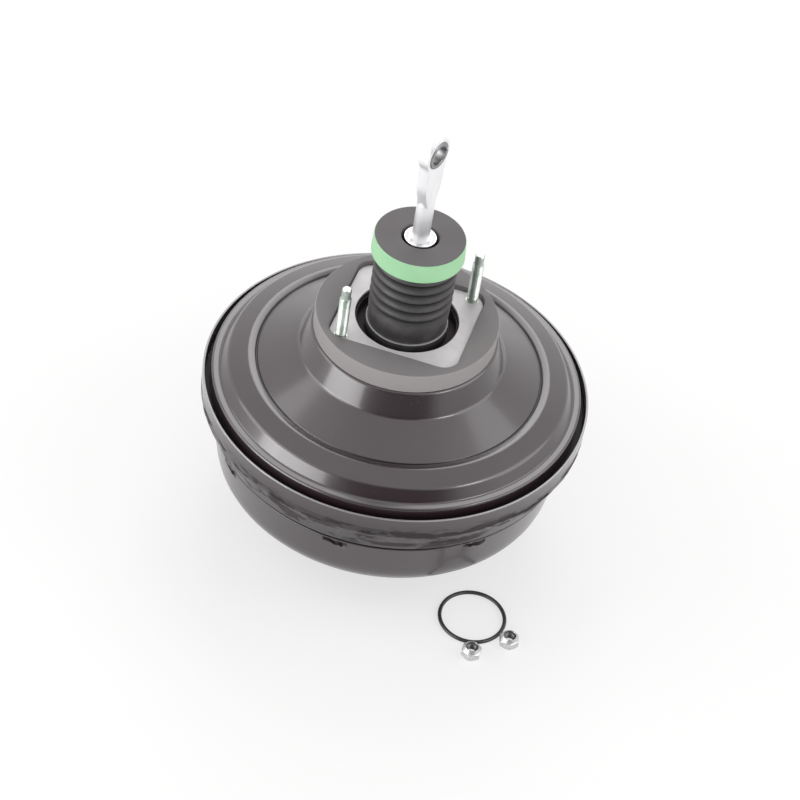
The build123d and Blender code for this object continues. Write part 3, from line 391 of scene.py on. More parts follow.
@dataclass(frozen=True)
class Rubber(Finish):
    """Moulded rubber with a faint bloom."""

    colour: Triple
    bloom_colour: Triple
    roughness: float = 0.48
    grain: Grain = Grain(1500.0, 2.0)
    relief: float = 0.15
    bloom: Grain = Grain(60.0, 4.0, 0.6)
    bloom_span: Point = (0.4, 0.75)
    bloom_roughness: float = 0.14

    def sockets(self, graph: Graph) -> Sockets:
        """Dark rubber, lighter where the bloom lies, with a fine mould grain."""
        place = graph.place()
        bloom = graph.band(graph.noise(place, self.bloom), *self.bloom_span)
        return {
            "Base Color": graph.blend(bloom, self.colour, self.bloom_colour),
            "Roughness": bloom * self.bloom_roughness + self.roughness,
            "Normal": graph.bump(graph.noise(place, self.grain), self.relief, FINE),
        }


@dataclass(frozen=True)
class BootRubber(Rubber):
    """Boot rubber with painted shade in its folds and a painted highlight on the bead at its foot."""

    # Painted shade deep in the folds: radius and level where it fades in, its curve, its colour and its added
    # roughness.
    fold_shade_radius: Point = (0.0281, 0.0252)
    fold_shade_level: Point = (0.012, 0.016)
    fold_shade_power: float = 0.7
    fold_shade_colour: Triple = (0.003, 0.003, 0.003)
    fold_roughness: float = 0.4
    # Painted highlight on the bead's edge: its radius band, foot and top, and its pale colour.
    bead_highlight_radius: Point = (0.0276, 0.0278)
    bead_highlight_foot: Point = (-0.0013, -0.0011)
    bead_highlight_top: Point = (0.0002, -0.0001)
    # Pale colour of the painted highlight on the bead's edge.
    rubbed: Triple = (0.30, 0.30, 0.30)

    def sockets(self, graph: Graph) -> Sockets:
        """Plain rubber, with painted shade in the folds and a painted highlight on the bead's edge."""
        found = super().sockets(graph)
        radius, level = graph.around(graph.place())
        # Painted shade deep in the folds.
        deep = graph.band(radius, *self.fold_shade_radius) * graph.band(level, *self.fold_shade_level)
        # Painted highlight along the bead's edge.
        edge = graph.band(radius, *self.bead_highlight_radius) * graph.band(level, *self.bead_highlight_foot)
        edge = edge * graph.band(level, *self.bead_highlight_top)
        plain = graph.blend(deep**self.fold_shade_power, found["Base Color"], self.fold_shade_colour)
        found["Base Color"] = graph.blend(edge, plain, self.rubbed)
        found["Roughness"] = found["Roughness"] + deep * self.fold_roughness
        return found


@dataclass(frozen=True)
class CellFoam(Finish):
    """Pressed cellular foam, matte with small open cells, and a cut side from a radius on."""

    colour: Triple
    pore: Triple
    cells: float
    depth: float
    side_radius: Point = (0.9996, 1.0)
    side_colour: Triple = (0.15, 0.145, 0.145)
    pore_span: Point = (0.12, 0.5)
    pore_share: float = 0.4
    side_closed: float = 0.7
    smudge: Grain = Grain(45.0, 4.0, 0.65)
    smudge_span: Point = (0.55, 0.8)
    smudge_share: float = 0.35
    smudge_gloss: float = 0.1
    roughness: float = 0.82
    specular: float = 0.3
    relief: float = 0.35

    def sockets(self, graph: Graph) -> Sockets:
        """Even grey with fine pores and a few larger smudges, and a cut side of another shade."""
        place = graph.place()
        side = graph.band(graph.around(place)[0], *self.side_radius)
        pores = graph.band(graph.cells(place, self.cells), *self.pore_span)
        smudge = graph.band(graph.noise(place, self.smudge), *self.smudge_span)
        mottled = graph.blend(smudge * self.smudge_share, self.colour, self.pore)
        mottled = graph.blend(side, mottled, self.side_colour)
        share = (1.0 - pores) * (1.0 - side * self.side_closed) * self.pore_share
        return {
            "Base Color": graph.blend(share, mottled, self.pore),
            "Roughness": self.roughness - smudge * self.smudge_gloss,
            "Specular IOR Level": self.specular,
            "Normal": graph.bump(pores, self.relief, self.depth),
        }


@dataclass(frozen=True)
class Plating(Finish):
    """Plated or bare metal with fine scratches and a tint that varies."""

    colour: Triple
    tint: Triple
    roughness: float
    metal: float = 0.9
    streaks: Grain = Grain(1.0, 3.0, 0.5, (60.0, 60.0, 900.0))
    relief: float = 0.12
    cloud: Grain = Grain(70.0, 4.0, 0.6)
    cloud_span: Point = (0.35, 0.7)
    spots: float = 420.0
    spot_span: Point = (0.14, 0.02)
    spot_dulling: float = 0.2
    spot_roughness: float = 0.1
    unevenness: float = 0.16

    def sockets(self, graph: Graph) -> Sockets:
        """Tint clouds, drawn streaks and small rubbed spots."""
        place = graph.place()
        cloud = graph.band(graph.noise(place, self.cloud), *self.cloud_span)
        streaks = graph.noise(place, self.streaks)
        spots = graph.band(graph.cells(place, self.spots), *self.spot_span)
        rough = (streaks - 0.5) * self.unevenness + self.roughness
        return {
            "Base Color": graph.blend(cloud, self.colour, self.tint),
            "Metallic": self.metal - spots * self.spot_dulling,
            "Roughness": rough + spots * self.spot_roughness,
            "Normal": graph.bump(streaks, self.relief, FINE),
        }


@dataclass(frozen=True)
class NutSteel(Finish):
    """Plain grey plating with painted shade in the threaded bore about a place on the floor."""

    spot: Point
    grey: Triple = (0.66, 0.66, 0.67)
    shaded: Triple = (0.5412, 0.5412, 0.5494)
    cloud: Grain = Grain(420.0, 3.0)
    cloud_span: Point = (0.4, 0.65)
    # Painted shade in the threaded bore: its colour, the radius band where it starts, and its weight.
    bore_shade_colour: Triple = (0.05, 0.05, 0.05)
    bore_radius: Point = (0.0044, 0.0042)
    bore_shade_share: float = 0.8
    roughness: float = 0.32
    unevenness: float = 0.16
    metal: float = 0.80
    grain: Grain = Grain(900.0, 2.0)
    relief: float = 0.06

    def sockets(self, graph: Graph) -> Sockets:
        """Grey cloud, and painted shade inside the bore's radius."""
        place = graph.place()
        inside = graph.band(graph.around(place, self.spot)[0], *self.bore_radius)
        cloud = graph.noise(place, self.cloud)
        colour = graph.blend(graph.band(cloud, *self.cloud_span), self.grey, self.shaded)
        return {
            # Painted shade inside the bore.
            "Base Color": graph.blend(inside * self.bore_shade_share, colour, self.bore_shade_colour),
            "Roughness": cloud * self.unevenness + self.roughness,
            "Metallic": self.metal,
            "Normal": graph.bump(graph.noise(place, self.grain), self.relief, FINE),
        }


@dataclass(frozen=True)
class TurnedFace(Finish):
    """Lathe-turned bright metal with rings about the booster's axis."""

    colour: Triple = (0.86, 0.86, 0.87)
    shaded: Triple = (0.72, 0.72, 0.74)
    pitch: float = 0.00022
    drift: Grain = Grain(300.0, 2.0)
    drift_share: float = 0.3
    metal: float = 0.95
    dulling: float = 0.1
    roughness: float = 0.22
    ring_roughness: float = 0.08
    relief: Point = (0.35, 0.00002)

    def sockets(self, graph: Graph) -> Sockets:
        """Concentric rings in height and roughness."""
        place = graph.place()
        rings = (graph.around(place)[0] * (math.tau / self.pitch)).sine() * 0.5 + 0.5
        drift = graph.noise(place, self.drift)
        return {
            "Base Color": graph.blend(drift * self.drift_share, self.colour, self.shaded),
            "Metallic": self.metal - drift * self.dulling,
            "Roughness": rings * self.ring_roughness + self.roughness,
            "Normal": graph.bump(rings, *self.relief),
        }


@dataclass(frozen=True)
class Moulding(Finish):
    """Plain moulded plastic with flow clouds and an eroded grain."""

    colour: Triple
    flow_colour: Triple
    roughness: float
    flow: Grain = Grain(50.0, 4.0)
    flow_span: Point = (0.35, 0.7)
    flow_roughness: float = 0.0
    grain: Grain = Grain(1600.0, 2.0)
    grain_roughness: float = 0.12
    relief: float = 0.12

    def sockets(self, graph: Graph) -> Sockets:
        """Clouded base with a spark grain."""
        place = graph.place()
        cloud = graph.band(graph.noise(place, self.flow), *self.flow_span)
        grain = graph.noise(place, self.grain)
        return {
            "Base Color": graph.blend(cloud, self.colour, self.flow_colour),
            "Roughness": cloud * self.flow_roughness + grain * self.grain_roughness + self.roughness,
            "Normal": graph.bump(grain, self.relief, FINE),
        }


@dataclass(frozen=True)
class Felt(Finish):
    """Pressed felt fibres."""

    colour: Triple = (0.45, 0.43, 0.38)
    shaded: Triple = (0.28, 0.26, 0.22)
    fibres: Grain = Grain(1.0, 4.0, 0.7, (2400.0, 500.0, 900.0))
    roughness: float = 0.88
    unevenness: float = 0.1
    relief: Point = (0.6, 0.0004)

    def sockets(self, graph: Graph) -> Sockets:
        """Fuzzy crossed fibres."""
        fibres = graph.noise(graph.place(), self.fibres)
        return {
            "Base Color": graph.blend(fibres, self.colour, self.shaded),
            "Roughness": fibres * self.unevenness + self.roughness,
            "Normal": graph.bump(fibres, *self.relief),
        }


@dataclass(frozen=True)
class StudioWhite(Finish):
    """Pale matte floor that keeps a faint shadow and shows as white."""

    colour: Triple = (0.93, 0.925, 0.92)
    paler: Triple = (0.95, 0.945, 0.94)
    cloud: Grain = Grain(3.0, 2.0)
    roughness: float = 0.85
    unevenness: float = 0.05
    specular: float = 0.1
    shown: float = 0.62

    def sockets(self, graph: Graph) -> Sockets:
        """Plain pale paper."""
        cloud = graph.noise(graph.place(), self.cloud)
        return {
            "Base Color": graph.blend(cloud, self.colour, self.paler),
            "Roughness": cloud * self.unevenness + self.roughness,
            "Specular IOR Level": self.specular,
        }

    def shader(self, graph: Graph) -> Socket:
        """The paper, and in part plain white for the camera and for mirrored rays."""
        plain = super().shader(graph)
        rays = graph.node("ShaderNodeLightPath", {}, {}).outputs
        seen = Sock(graph, rays["Is Camera Ray"]) + rays["Is Glossy Ray"] + rays["Is Transmission Ray"]
        white = graph.node("ShaderNodeEmission", {}, {"Color": (1.0, 1.0, 1.0), "Strength": 1.0})
        factor = graph.band(seen, 0.0, 1.0) * self.shown
        return graph.node("ShaderNodeMixShader", {}, {0: factor, 1: plain, 2: white.outputs[0]}).outputs[0]


EVEN_STREAKS = Grain(1.0, 3.0, 0.5, (40.0, 40.0, 40.0))
THREAD_STREAKS = Grain(1.0, 3.0, 0.5, (300.0, 300.0, 700.0))
FINISHES: dict[Slot, Finish] = {
    Slot.SHELL: ShellEnamel("shell_enamel"),
    Slot.PLATE: Plating(
        "bare_plate", (0.67, 0.65, 0.655), (0.58, 0.56, 0.565), 0.55, 0.1, EVEN_STREAKS, 0.05
    ),
    Slot.GASKET: CellFoam(
        "gasket_foam", (0.215, 0.205, 0.206), (0.165, 0.157, 0.158), 1800.0, 0.00025,
        (0.0628, 0.0632), (0.345, 0.322, 0.322),
    ),
    Slot.ZINC: Plating("zinc_plate", (0.70, 0.74, 0.70), (0.36, 0.42, 0.37), 0.34, 0.75, THREAD_STREAKS, 0.3),
    Slot.FORGING: Plating("bright_forging", (0.88, 0.88, 0.89), (0.83, 0.83, 0.85), 0.36, 0.62),
    Slot.CUP: TurnedFace("turned_cup"),
    Slot.BUSH: Plating("bush_steel", (0.29, 0.29, 0.29), (0.22, 0.22, 0.23), 0.34),
    Slot.BOOT: BootRubber("boot_rubber", (0.050, 0.046, 0.048), (0.098, 0.091, 0.095)),
    Slot.SEAL: Rubber("seal_rubber", (0.024, 0.024, 0.024), (0.060, 0.058, 0.058), 0.30),
    Slot.FILM: Rubber("diaphragm_rubber", (0.03, 0.028, 0.028), (0.06, 0.056, 0.056), 0.6),
    Slot.BAND: Moulding(
        "green_band", (0.37, 0.68, 0.39), (0.31, 0.61, 0.34), 0.42,
        Grain(40.0, 3.0), (0.35, 0.75), 0.1, Grain(1200.0, 2.0), 0.0, 0.06,
    ),
    Slot.FOAM: CellFoam("dark_foam", (0.155, 0.145, 0.150), (0.10, 0.094, 0.098), 2600.0, 0.00015),
    Slot.FELT: Felt("filter_felt"),
    Slot.PHENOLIC: Moulding("phenolic", (0.07, 0.045, 0.03), (0.10, 0.065, 0.045), 0.5),
    Slot.NYLON: Moulding("white_nylon", (0.78, 0.76, 0.70), (0.70, 0.68, 0.61), 0.4),
    Slot.SHEET: Plating("yellow_zinc", (0.66, 0.62, 0.46), (0.58, 0.60, 0.50), 0.32),
    Slot.WIRE: Plating("spring_wire", (0.22, 0.22, 0.24), (0.16, 0.16, 0.18), 0.4, 0.85),
}


def rounded(points: Sequence[Point], radii: Sequence[float], steps: int = 7) -> list[Point]:
    """Round the corners of an open path.

    Args:
        points: the path's corners in millimetres.
        radii: one radius for each inner corner.
        steps: parts of each arc.

    Returns:
        The rounded path.
    """
    sharp, straight = 0.02, math.radians(89.5)
    path = [points[0]]
    for i, radius in enumerate(radii, start=1):
        corner = Vector(points[i])
        back = (Vector(points[i - 1]) - corner).normalized()
        ahead = (Vector(points[i + 1]) - corner).normalized()
        half = back.angle(ahead) / 2
        if radius < sharp or half > straight:
            path.append(points[i])
            continue
        reach = radius / math.tan(half)
        centre = corner + (back + ahead).normalized() * radius / math.sin(half)
        first = corner + back * reach - centre
        sweep = first.angle_signed(corner + ahead * reach - centre)
        for step in range(steps + 1):
            turned = first.copy()
            turned.rotate(Matrix.Rotation(-sweep * step / steps, 2))
            path.append(tuple(centre + turned))
    path.append(points[-1])
    return path


def beside(points: Sequence[Point], wall: float) -> list[Point]:
    """Corners of the parallel path.

    Args:
        points: the path's corners.
        wall: distance to the right of the path's direction, negative for the left.

    Returns:
        The corners of the parallel.
    """
    out = []
    for i, point in enumerate(points):
        ways = []
        if i > 0:
            ways.append((Vector(point) - Vector(points[i - 1])).normalized())
        if i < len(points) - 1:
            ways.append((Vector(points[i + 1]) - Vector(point)).normalized())
        normals = [Vector((way.y, -way.x)) for way in ways]
        mean = sum(normals, Vector((0, 0))).normalized()
        out.append(tuple(Vector(point) + mean * wall / mean.dot(normals[0])))
    return out


def sheet_loop(points: Sequence[Point], radii: Sequence[float], wall: float) -> list[Point]:
    """Closed section of a pressed sheet with one surface on a path.

    Args:
        points: corners of the seen surface.
        radii: bend radii of that surface.
        wall: thickness to the right, negative for the left.

    Returns:
        The section's loop.
    """
    tightest = 0.15
    other = []
    for i, radius in enumerate(radii, start=1):
        ahead = Vector(points[i + 1]) - Vector(points[i])
        back = Vector(points[i]) - Vector(points[i - 1])
        left_turn = back.x * ahead.y - back.y * ahead.x > 0
        other.append(max(radius + (wall if left_turn else -wall), tightest))
    return rounded(points, radii) + rounded(beside(points, wall), other)[::-1]


def finer(loop: Sequence[Point], pitch: float) -> list[Point]:
    """Divide the sides of a closed section that are longer than a pitch in millimetres."""
    out = []
    for point, following in zip(loop, [*loop[1:], loop[0]]):
        start, end = Vector(point), Vector(following)
        parts = max(1, math.ceil((end - start).length / pitch))
        out += [tuple(start.lerp(end, i / parts)) for i in range(parts)]
    return out


def even_turn(count: int) -> list[float]:
    """Angles of a full turn."""
    return [math.tau * i / count for i in range(count)]


def on_circle(radius: float, angle: float, level: float) -> Triple:
    """Point in metres from a radius and a level in millimetres, about the upright axis."""
    return radius * math.cos(angle) * MM, radius * math.sin(angle) * MM, level * MM


def skin(rings: Sequence[Sequence[int]], closed: bool) -> list[tuple[int, ...]]:
    """Faces between neighbouring rings of points.

    Args:
        rings: numbers of each ring's points.
        closed: whether the last ring also meets the first.

    Returns:
        One face of four corners for each pair of neighbours.
    """
    pairs = list(zip(rings, rings[1:]))
    if closed:
        pairs.append((rings[-1], rings[0]))
    faces = []
    for low, high in pairs:
        for i, j in enumerate([*range(1, len(low)), 0]):
            faces.append((low[i], low[j], high[j], high[i]))
    return faces


def numbered(rings: int, count: int, first: int = 0) -> list[list[int]]:
    """Point numbers of so many rings of so many points, counted from a first one."""
    return [list(range(first + i * count, first + (i + 1) * count)) for i in range(rings)]


def link(name: str, data: bpy.types.ID) -> bpy.types.Object:
    """Make an object of some data and link it to the scene."""
    item = bpy.data.objects.new(name, data)
    bpy.context.scene.collection.objects.link(item)
    return item


def link_mesh(name: str, mesh: bpy.types.Mesh, crease: float = SHELL_CREASE) -> bpy.types.Object:
    """Merge doubles, turn faces outwards, smooth and link a mesh.

    Args:
        name: the object's name.
        mesh: its mesh.
        crease: angle in degrees over which an edge stays sharp.

    Returns:
        The linked object.
    """
    work = bmesh.new()
    work.from_mesh(mesh)
    bmesh.ops.remove_doubles(work, verts=work.verts, dist=MERGE)
    bmesh.ops.recalc_face_normals(work, faces=work.faces)
    for face in work.faces:
        face.smooth = True
    work.to_mesh(mesh)
    work.free()
    mesh.set_sharp_from_angle(angle=math.radians(crease))
    return link(name, mesh)


def smooth_object(
    name: str,
    verts: Sequence[Triple],
    faces: Sequence[Sequence[int]],
    crease: float = SHELL_CREASE,
    turn: Matrix | None = None,
) -> bpy.types.Object:
    """Make a smooth-shaded object with its faces outwards.

    Args:
        name: the object's name.
        verts: points in metres.
        faces: corners of each face.
        crease: angle in degrees over which an edge stays sharp.
        turn: matrix that puts the points in their place.

    Returns:
        The linked object.
    """
    mesh = bpy.data.meshes.new(name)
    mesh.from_pydata(verts, [], faces)
    if turn is not None:
        mesh.transform(turn)
    return link_mesh(name, mesh, crease)


def ring_mesh(
    name: str,
    loop: Sequence[tuple[Radius, float]],
    angles: Sequence[float],
    shift: Shift | None = None,
    crease: float = SHELL_CREASE,
) -> bpy.types.Object:
    """Turn a closed section about the booster's axis.

    Args:
        name: the new object's name.
        loop: radius and level of each point in millimetres, a radius may depend on the angle.
        angles: the angles of the turn.
        shift: small change of radius and level from radius, level and angle.
        crease: angle in degrees over which an edge stays sharp.

    Returns:
        The mesh object, placed in its vertices.
    """
    verts, faces = [], []
    for angle in angles:
        for radius, level in loop:
            reach = radius(angle) if callable(radius) else radius
            out, up = shift(reach, level, angle) if shift is not None else (0.0, 0.0)
            verts.append(on_circle(reach + out, angle, level + up))
    rows, columns = len(angles), len(loop)
    for row in range(rows):
        near, far = row * columns, (row + 1) % rows * columns
        for column in range(columns):
            beyond = (column + 1) % columns
            faces.append((near + column, far + column, far + beyond, near + beyond))
    return smooth_object(name, verts, faces, crease)


def join_meshes(name: str, items: Sequence[bpy.types.Object], crease: float) -> bpy.types.Object:
    """Put several objects' meshes into one object.

    Args:
        name: the new object's name.
        items: objects that are used up.
        crease: angle in degrees over which an edge stays sharp.

    Returns:
        The joined object.
    """
    work = bmesh.new()
    mesh = bpy.data.meshes.new(name)
    for item in items:
        old = item.data
        work.from_mesh(old)
        bpy.data.objects.remove(item)
        bpy.data.meshes.remove(old)
    work.to_mesh(mesh)
    work.free()
    return link_mesh(name, mesh, crease)


def dress(item: bpy.types.Object, slot: Slot, node: str) -> None:
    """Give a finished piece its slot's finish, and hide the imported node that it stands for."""
    item.data.materials.clear()
    item.data.materials.append(FINISHES[slot].make())
    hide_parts(node)


def settle(item: bpy.types.Object, slot: Slot, body: Body, node: str) -> bpy.types.Object:
    """Dress a rigid piece and let a body carry it.

    Args:
        item: the piece.
        slot: its material slot.
        body: the body that carries it.
        node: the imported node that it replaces.

    Returns:
        The piece.
    """
    dress(item, slot, node)
    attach(item, body.value)
    LOG.info("%s: %d faces on %s", item.name, len(item.data.polygons), body.value)
    return item


def stretch(
    item: bpy.types.Object, slot: Slot, node: str, bodies: tuple[Body, Body], first: float, second: float
) -> None:
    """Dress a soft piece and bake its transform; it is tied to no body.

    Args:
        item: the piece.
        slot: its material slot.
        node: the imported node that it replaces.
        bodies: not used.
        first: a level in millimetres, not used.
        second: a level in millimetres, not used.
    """
    dress(item, slot, node)
    first * MM
    second * MM
    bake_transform(item)
    LOG.info("%s: %d faces between two bodies", item.name, len(item.data.polygons))


class Maker(Nodes):
    """A geometry node tree with named inputs that ends in real, dressed geometry."""

    def __init__(self, name: str, inputs: Mapping[str, str]) -> None:
        """Make the tree with a geometry input, the named ones and a finish.

        Args:
            name: the tree's name.
            inputs: socket type of each named input.
        """
        super().__init__(bpy.data.node_groups.new(name, "GeometryNodeTree"))
        face = self.tree.interface
        face.new_socket("Geometry", in_out="INPUT", socket_type="NodeSocketGeometry")
        self.inputs = {}
        for title, kind in {**inputs, "Finish": "NodeSocketMaterial"}.items():
            self.inputs[title] = face.new_socket(title, in_out="INPUT", socket_type=kind).identifier
        face.new_socket("Geometry", in_out="OUTPUT", socket_type="NodeSocketGeometry")
        self.start = self.node("NodeGroupInput", {}, {}).outputs

    def end(self, shape: Socket) -> None:
        """Make the shape's instances real, set their material and close the tree."""
        real = self.node("GeometryNodeRealizeInstances", {}, {0: shape}).outputs[0]
        sockets = {"Geometry": real, "Material": self.start["Finish"]}
        self.node("NodeGroupOutput", {}, {0: self.node("GeometryNodeSetMaterial", {}, sockets).outputs[0]})

    def run(self, item: bpy.types.Object, sizes: Mapping[str, object]) -> bpy.types.Object:
        """Run the tree on an object.

        Args:
            item: the object, which is used up.
            sizes: values of the named inputs.

        Returns:
            A plain mesh object under the same name.
        """
        name = item.name
        modifier = item.modifiers.new(name, "NODES")
        modifier.node_group = self.tree
        for title, value in sizes.items():
            modifier[self.inputs[title]] = value
        bpy.context.view_layer.update()
        shown = item.evaluated_get(bpy.context.evaluated_depsgraph_get())
        shape = bpy.data.meshes.new_from_object(shown)
        item.modifiers.clear()
        bpy.data.objects.remove(item)
        shape.name = name
        return link_mesh(name, shape)


class Repeat(Maker):
    """Stands copies of one mesh round a circle."""

    def __init__(self, name: str) -> None:
        """Build the tree."""
        number = "NodeSocketFloat"
        inputs = {"Count": "NodeSocketInt", "Radius": number, "Level": number, "Start": number}
        super().__init__(name, inputs)
        start = self.start
        index = self.node("GeometryNodeInputIndex", {}, {}).outputs[0]
        share = self.maths("DIVIDE", index, start["Count"])
        angle = self.maths("ADD", self.maths("MULTIPLY", share, math.tau), start["Start"])
        across = self.maths("MULTIPLY", self.maths("COSINE", angle), start["Radius"])
        along = self.maths("MULTIPLY", self.maths("SINE", angle), start["Radius"])
        place = self.node("ShaderNodeCombineXYZ", {}, {0: across, 1: along, 2: start["Level"]}).outputs[0]
        turn = self.node("ShaderNodeCombineXYZ", {}, {2: angle}).outputs[0]
        points = self.node("GeometryNodePoints", {}, {"Count": start["Count"], "Position": place}).outputs[0]
        sockets = {"Points": points, "Instance": start["Geometry"], "Rotation": turn}
        self.end(self.node("GeometryNodeInstanceOnPoints", {}, sockets).outputs[0])

    def pair(self, item: bpy.types.Object, spacing: float, slot: Slot) -> bpy.types.Object:
        """Replace an object by two copies on X.

        Args:
            item: the object on the axis.
            spacing: distance between the copies in millimetres.
            slot: material slot of their finish.

        Returns:
            A plain mesh object with both copies.
        """
        sizes = {"Count": 2, "Radius": spacing / 2 * MM, "Level": 0.0, "Start": 0.0}
        return self.run(item, {**sizes, "Finish": FINISHES[slot].make()})


class Coil(Maker):
    """Winds round wire into a spring."""

    around: int = 12
    turn_steps: int = 40

    def __init__(self, name: str) -> None:
        """Build the tree."""
        super().__init__(name, dict.fromkeys(("Turns", "Foot", "Top", "Height", "Wire"), "NodeSocketFloat"))
        start = self.start
        sockets = {
            "Resolution": self.turn_steps,
            "Rotations": start["Turns"],
            "Start Radius": start["Foot"],
            "End Radius": start["Top"],
            "Height": start["Height"],
        }
        path = self.node("GeometryNodeCurveSpiral", {}, sockets).outputs[0]
        sockets = {"Resolution": self.around, "Radius": start["Wire"]}
        ring = self.node("GeometryNodeCurvePrimitiveCircle", {}, sockets).outputs[0]
        sockets = {"Curve": path, "Profile Curve": ring, "Fill Caps": True}
        self.end(self.node("GeometryNodeCurveToMesh", {}, sockets).outputs[0])

    def wind(
        self, name: str, low: float, high: float, foot: float, top: float, turns: float, wire: float
    ) -> bpy.types.Object:
        """Wind one spring on the booster's axis.

        Args:
            name: the object's name.
            low: level of the wire's centre at the foot, in millimetres.
            high: level at the top.
            foot: radius at the foot.
            top: radius at the top.
            turns: number of turns.
            wire: the wire's radius.

        Returns:
            A plain mesh object.
        """
        sizes = {"Foot": foot * MM, "Top": top * MM, "Height": (high - low) * MM, "Wire": wire * MM}
        sizes.update({"Turns": turns, "Finish": FINISHES[Slot.WIRE].make()})
        item = self.run(link(name, bpy.data.meshes.new(name)), sizes)
        item.data.transform(Matrix.Translation((0, 0, low * MM)))
        return item


@dataclass
class HubSeat:
    """The rounded oblong of the hub, turned against the studs."""

    length: float = 92.0
    width: float = 85.4
    corner: float = 12.0
    turn: float = math.radians(-45.0)

    def radius(self, inset: float) -> Callable[[float], float]:
        """Reach of the outline by angle.

        Args:
            inset: distance inside the full outline in millimetres.

        Returns:
            A function from an angle to a radius.
        """
        half_x = self.length / 2 - inset
        half_y = self.width / 2 - inset
        corner = self.corner - inset
        mid_x, mid_y = half_x - corner, half_y - corner
        tiny = 1e-9

        def reach(angle: float) -> float:
            """Distance from the axis to the outline."""
            cos_a = abs(math.cos(angle - self.turn))
            sin_a = abs(math.sin(angle - self.turn))
            if cos_a > tiny and half_x / cos_a * sin_a <= mid_y:
                return half_x / cos_a
            if sin_a > tiny and half_y / sin_a * cos_a <= mid_x:
                return half_y / sin_a
            along = cos_a * mid_x + sin_a * mid_y
            return along + math.sqrt(along**2 - mid_x**2 - mid_y**2 + corner**2)

        return reach


@dataclass
class RearCover:
    """Pressed cover with its hub, boss, dish, crest, dark step and flange, as paths of radius and level."""

    seat: HubSeat
    steps: int = 360
    neck: tuple[Point, ...] = ((21.0, -30.8), (26.0, -30.8), (26.0, -12.0), (36.0, -12.0), (36.0, -2.4))
    neck_bends: tuple[float, ...] = (2.2, 2.2, 2.2)
    lip: Point = (37.2, -2.05)
    hub_edge: tuple[Point, ...] = (
        (2.0, -2.1), (1.2, -2.3), (0.75, -2.9), (0.6, -3.8), (0.6, -9.8), (0.2, -10.7), (-0.6, -11.0)
    )
    top: tuple[Point, ...] = (
        (39.0, -11.0), (64.6, -11.0), (71.8, -28.0), (98.8, -42.8), (99.6, -44.3), (100.7, -42.7),
        (105.0, -41.5), (119.0, -46.5), (124.3, -55.0), (130.0, -55.0), (130.0, -70.0),
    )
    top_bends: tuple[float, ...] = (3.0, 4.5, 0.7, 0.5, 1.2, 6.0, 5.0, 2.0, 1.6)
    under: tuple[Point, ...] = (
        (128.4, -70.0), (128.4, -57.4), (127.6, -56.6), (123.2, -56.6), (117.6, -47.8), (105.3, -43.1),
        (99.3, -46.2), (70.5, -29.1), (63.5, -12.6), (50.0, -12.6),
    )
    pocket_inset: float = 2.2
    pocket: tuple[float, float] = (-12.0, -3.7)
    neck_inside: tuple[Point, ...] = ((34.4, -3.6), (34.4, -10.4), (24.4, -10.4), (24.4, -32.4), (21.0, -32.4))

    def section(self) -> list[tuple[Radius, float]]:
        """Closed section, the seen surface first and then the inner one."""
        hub = [(self.seat.radius(inset), level) for inset, level in self.hub_edge]
        pocket = [(self.seat.radius(self.pocket_inset), level) for level in self.pocket]
        neck, top = rounded(self.neck, self.neck_bends), rounded(self.top, self.top_bends)[1:]
        return [*neck, self.lip, *hub, *top, *self.under, *pocket, *self.neck_inside]

    def build(self) -> bpy.types.Object:
        """Build the cover and dress it."""
        item = ring_mesh("cover_shell", self.section(), even_turn(self.steps))
        return settle(item, Slot.SHELL, Body.HOUSING, "rear_cover")


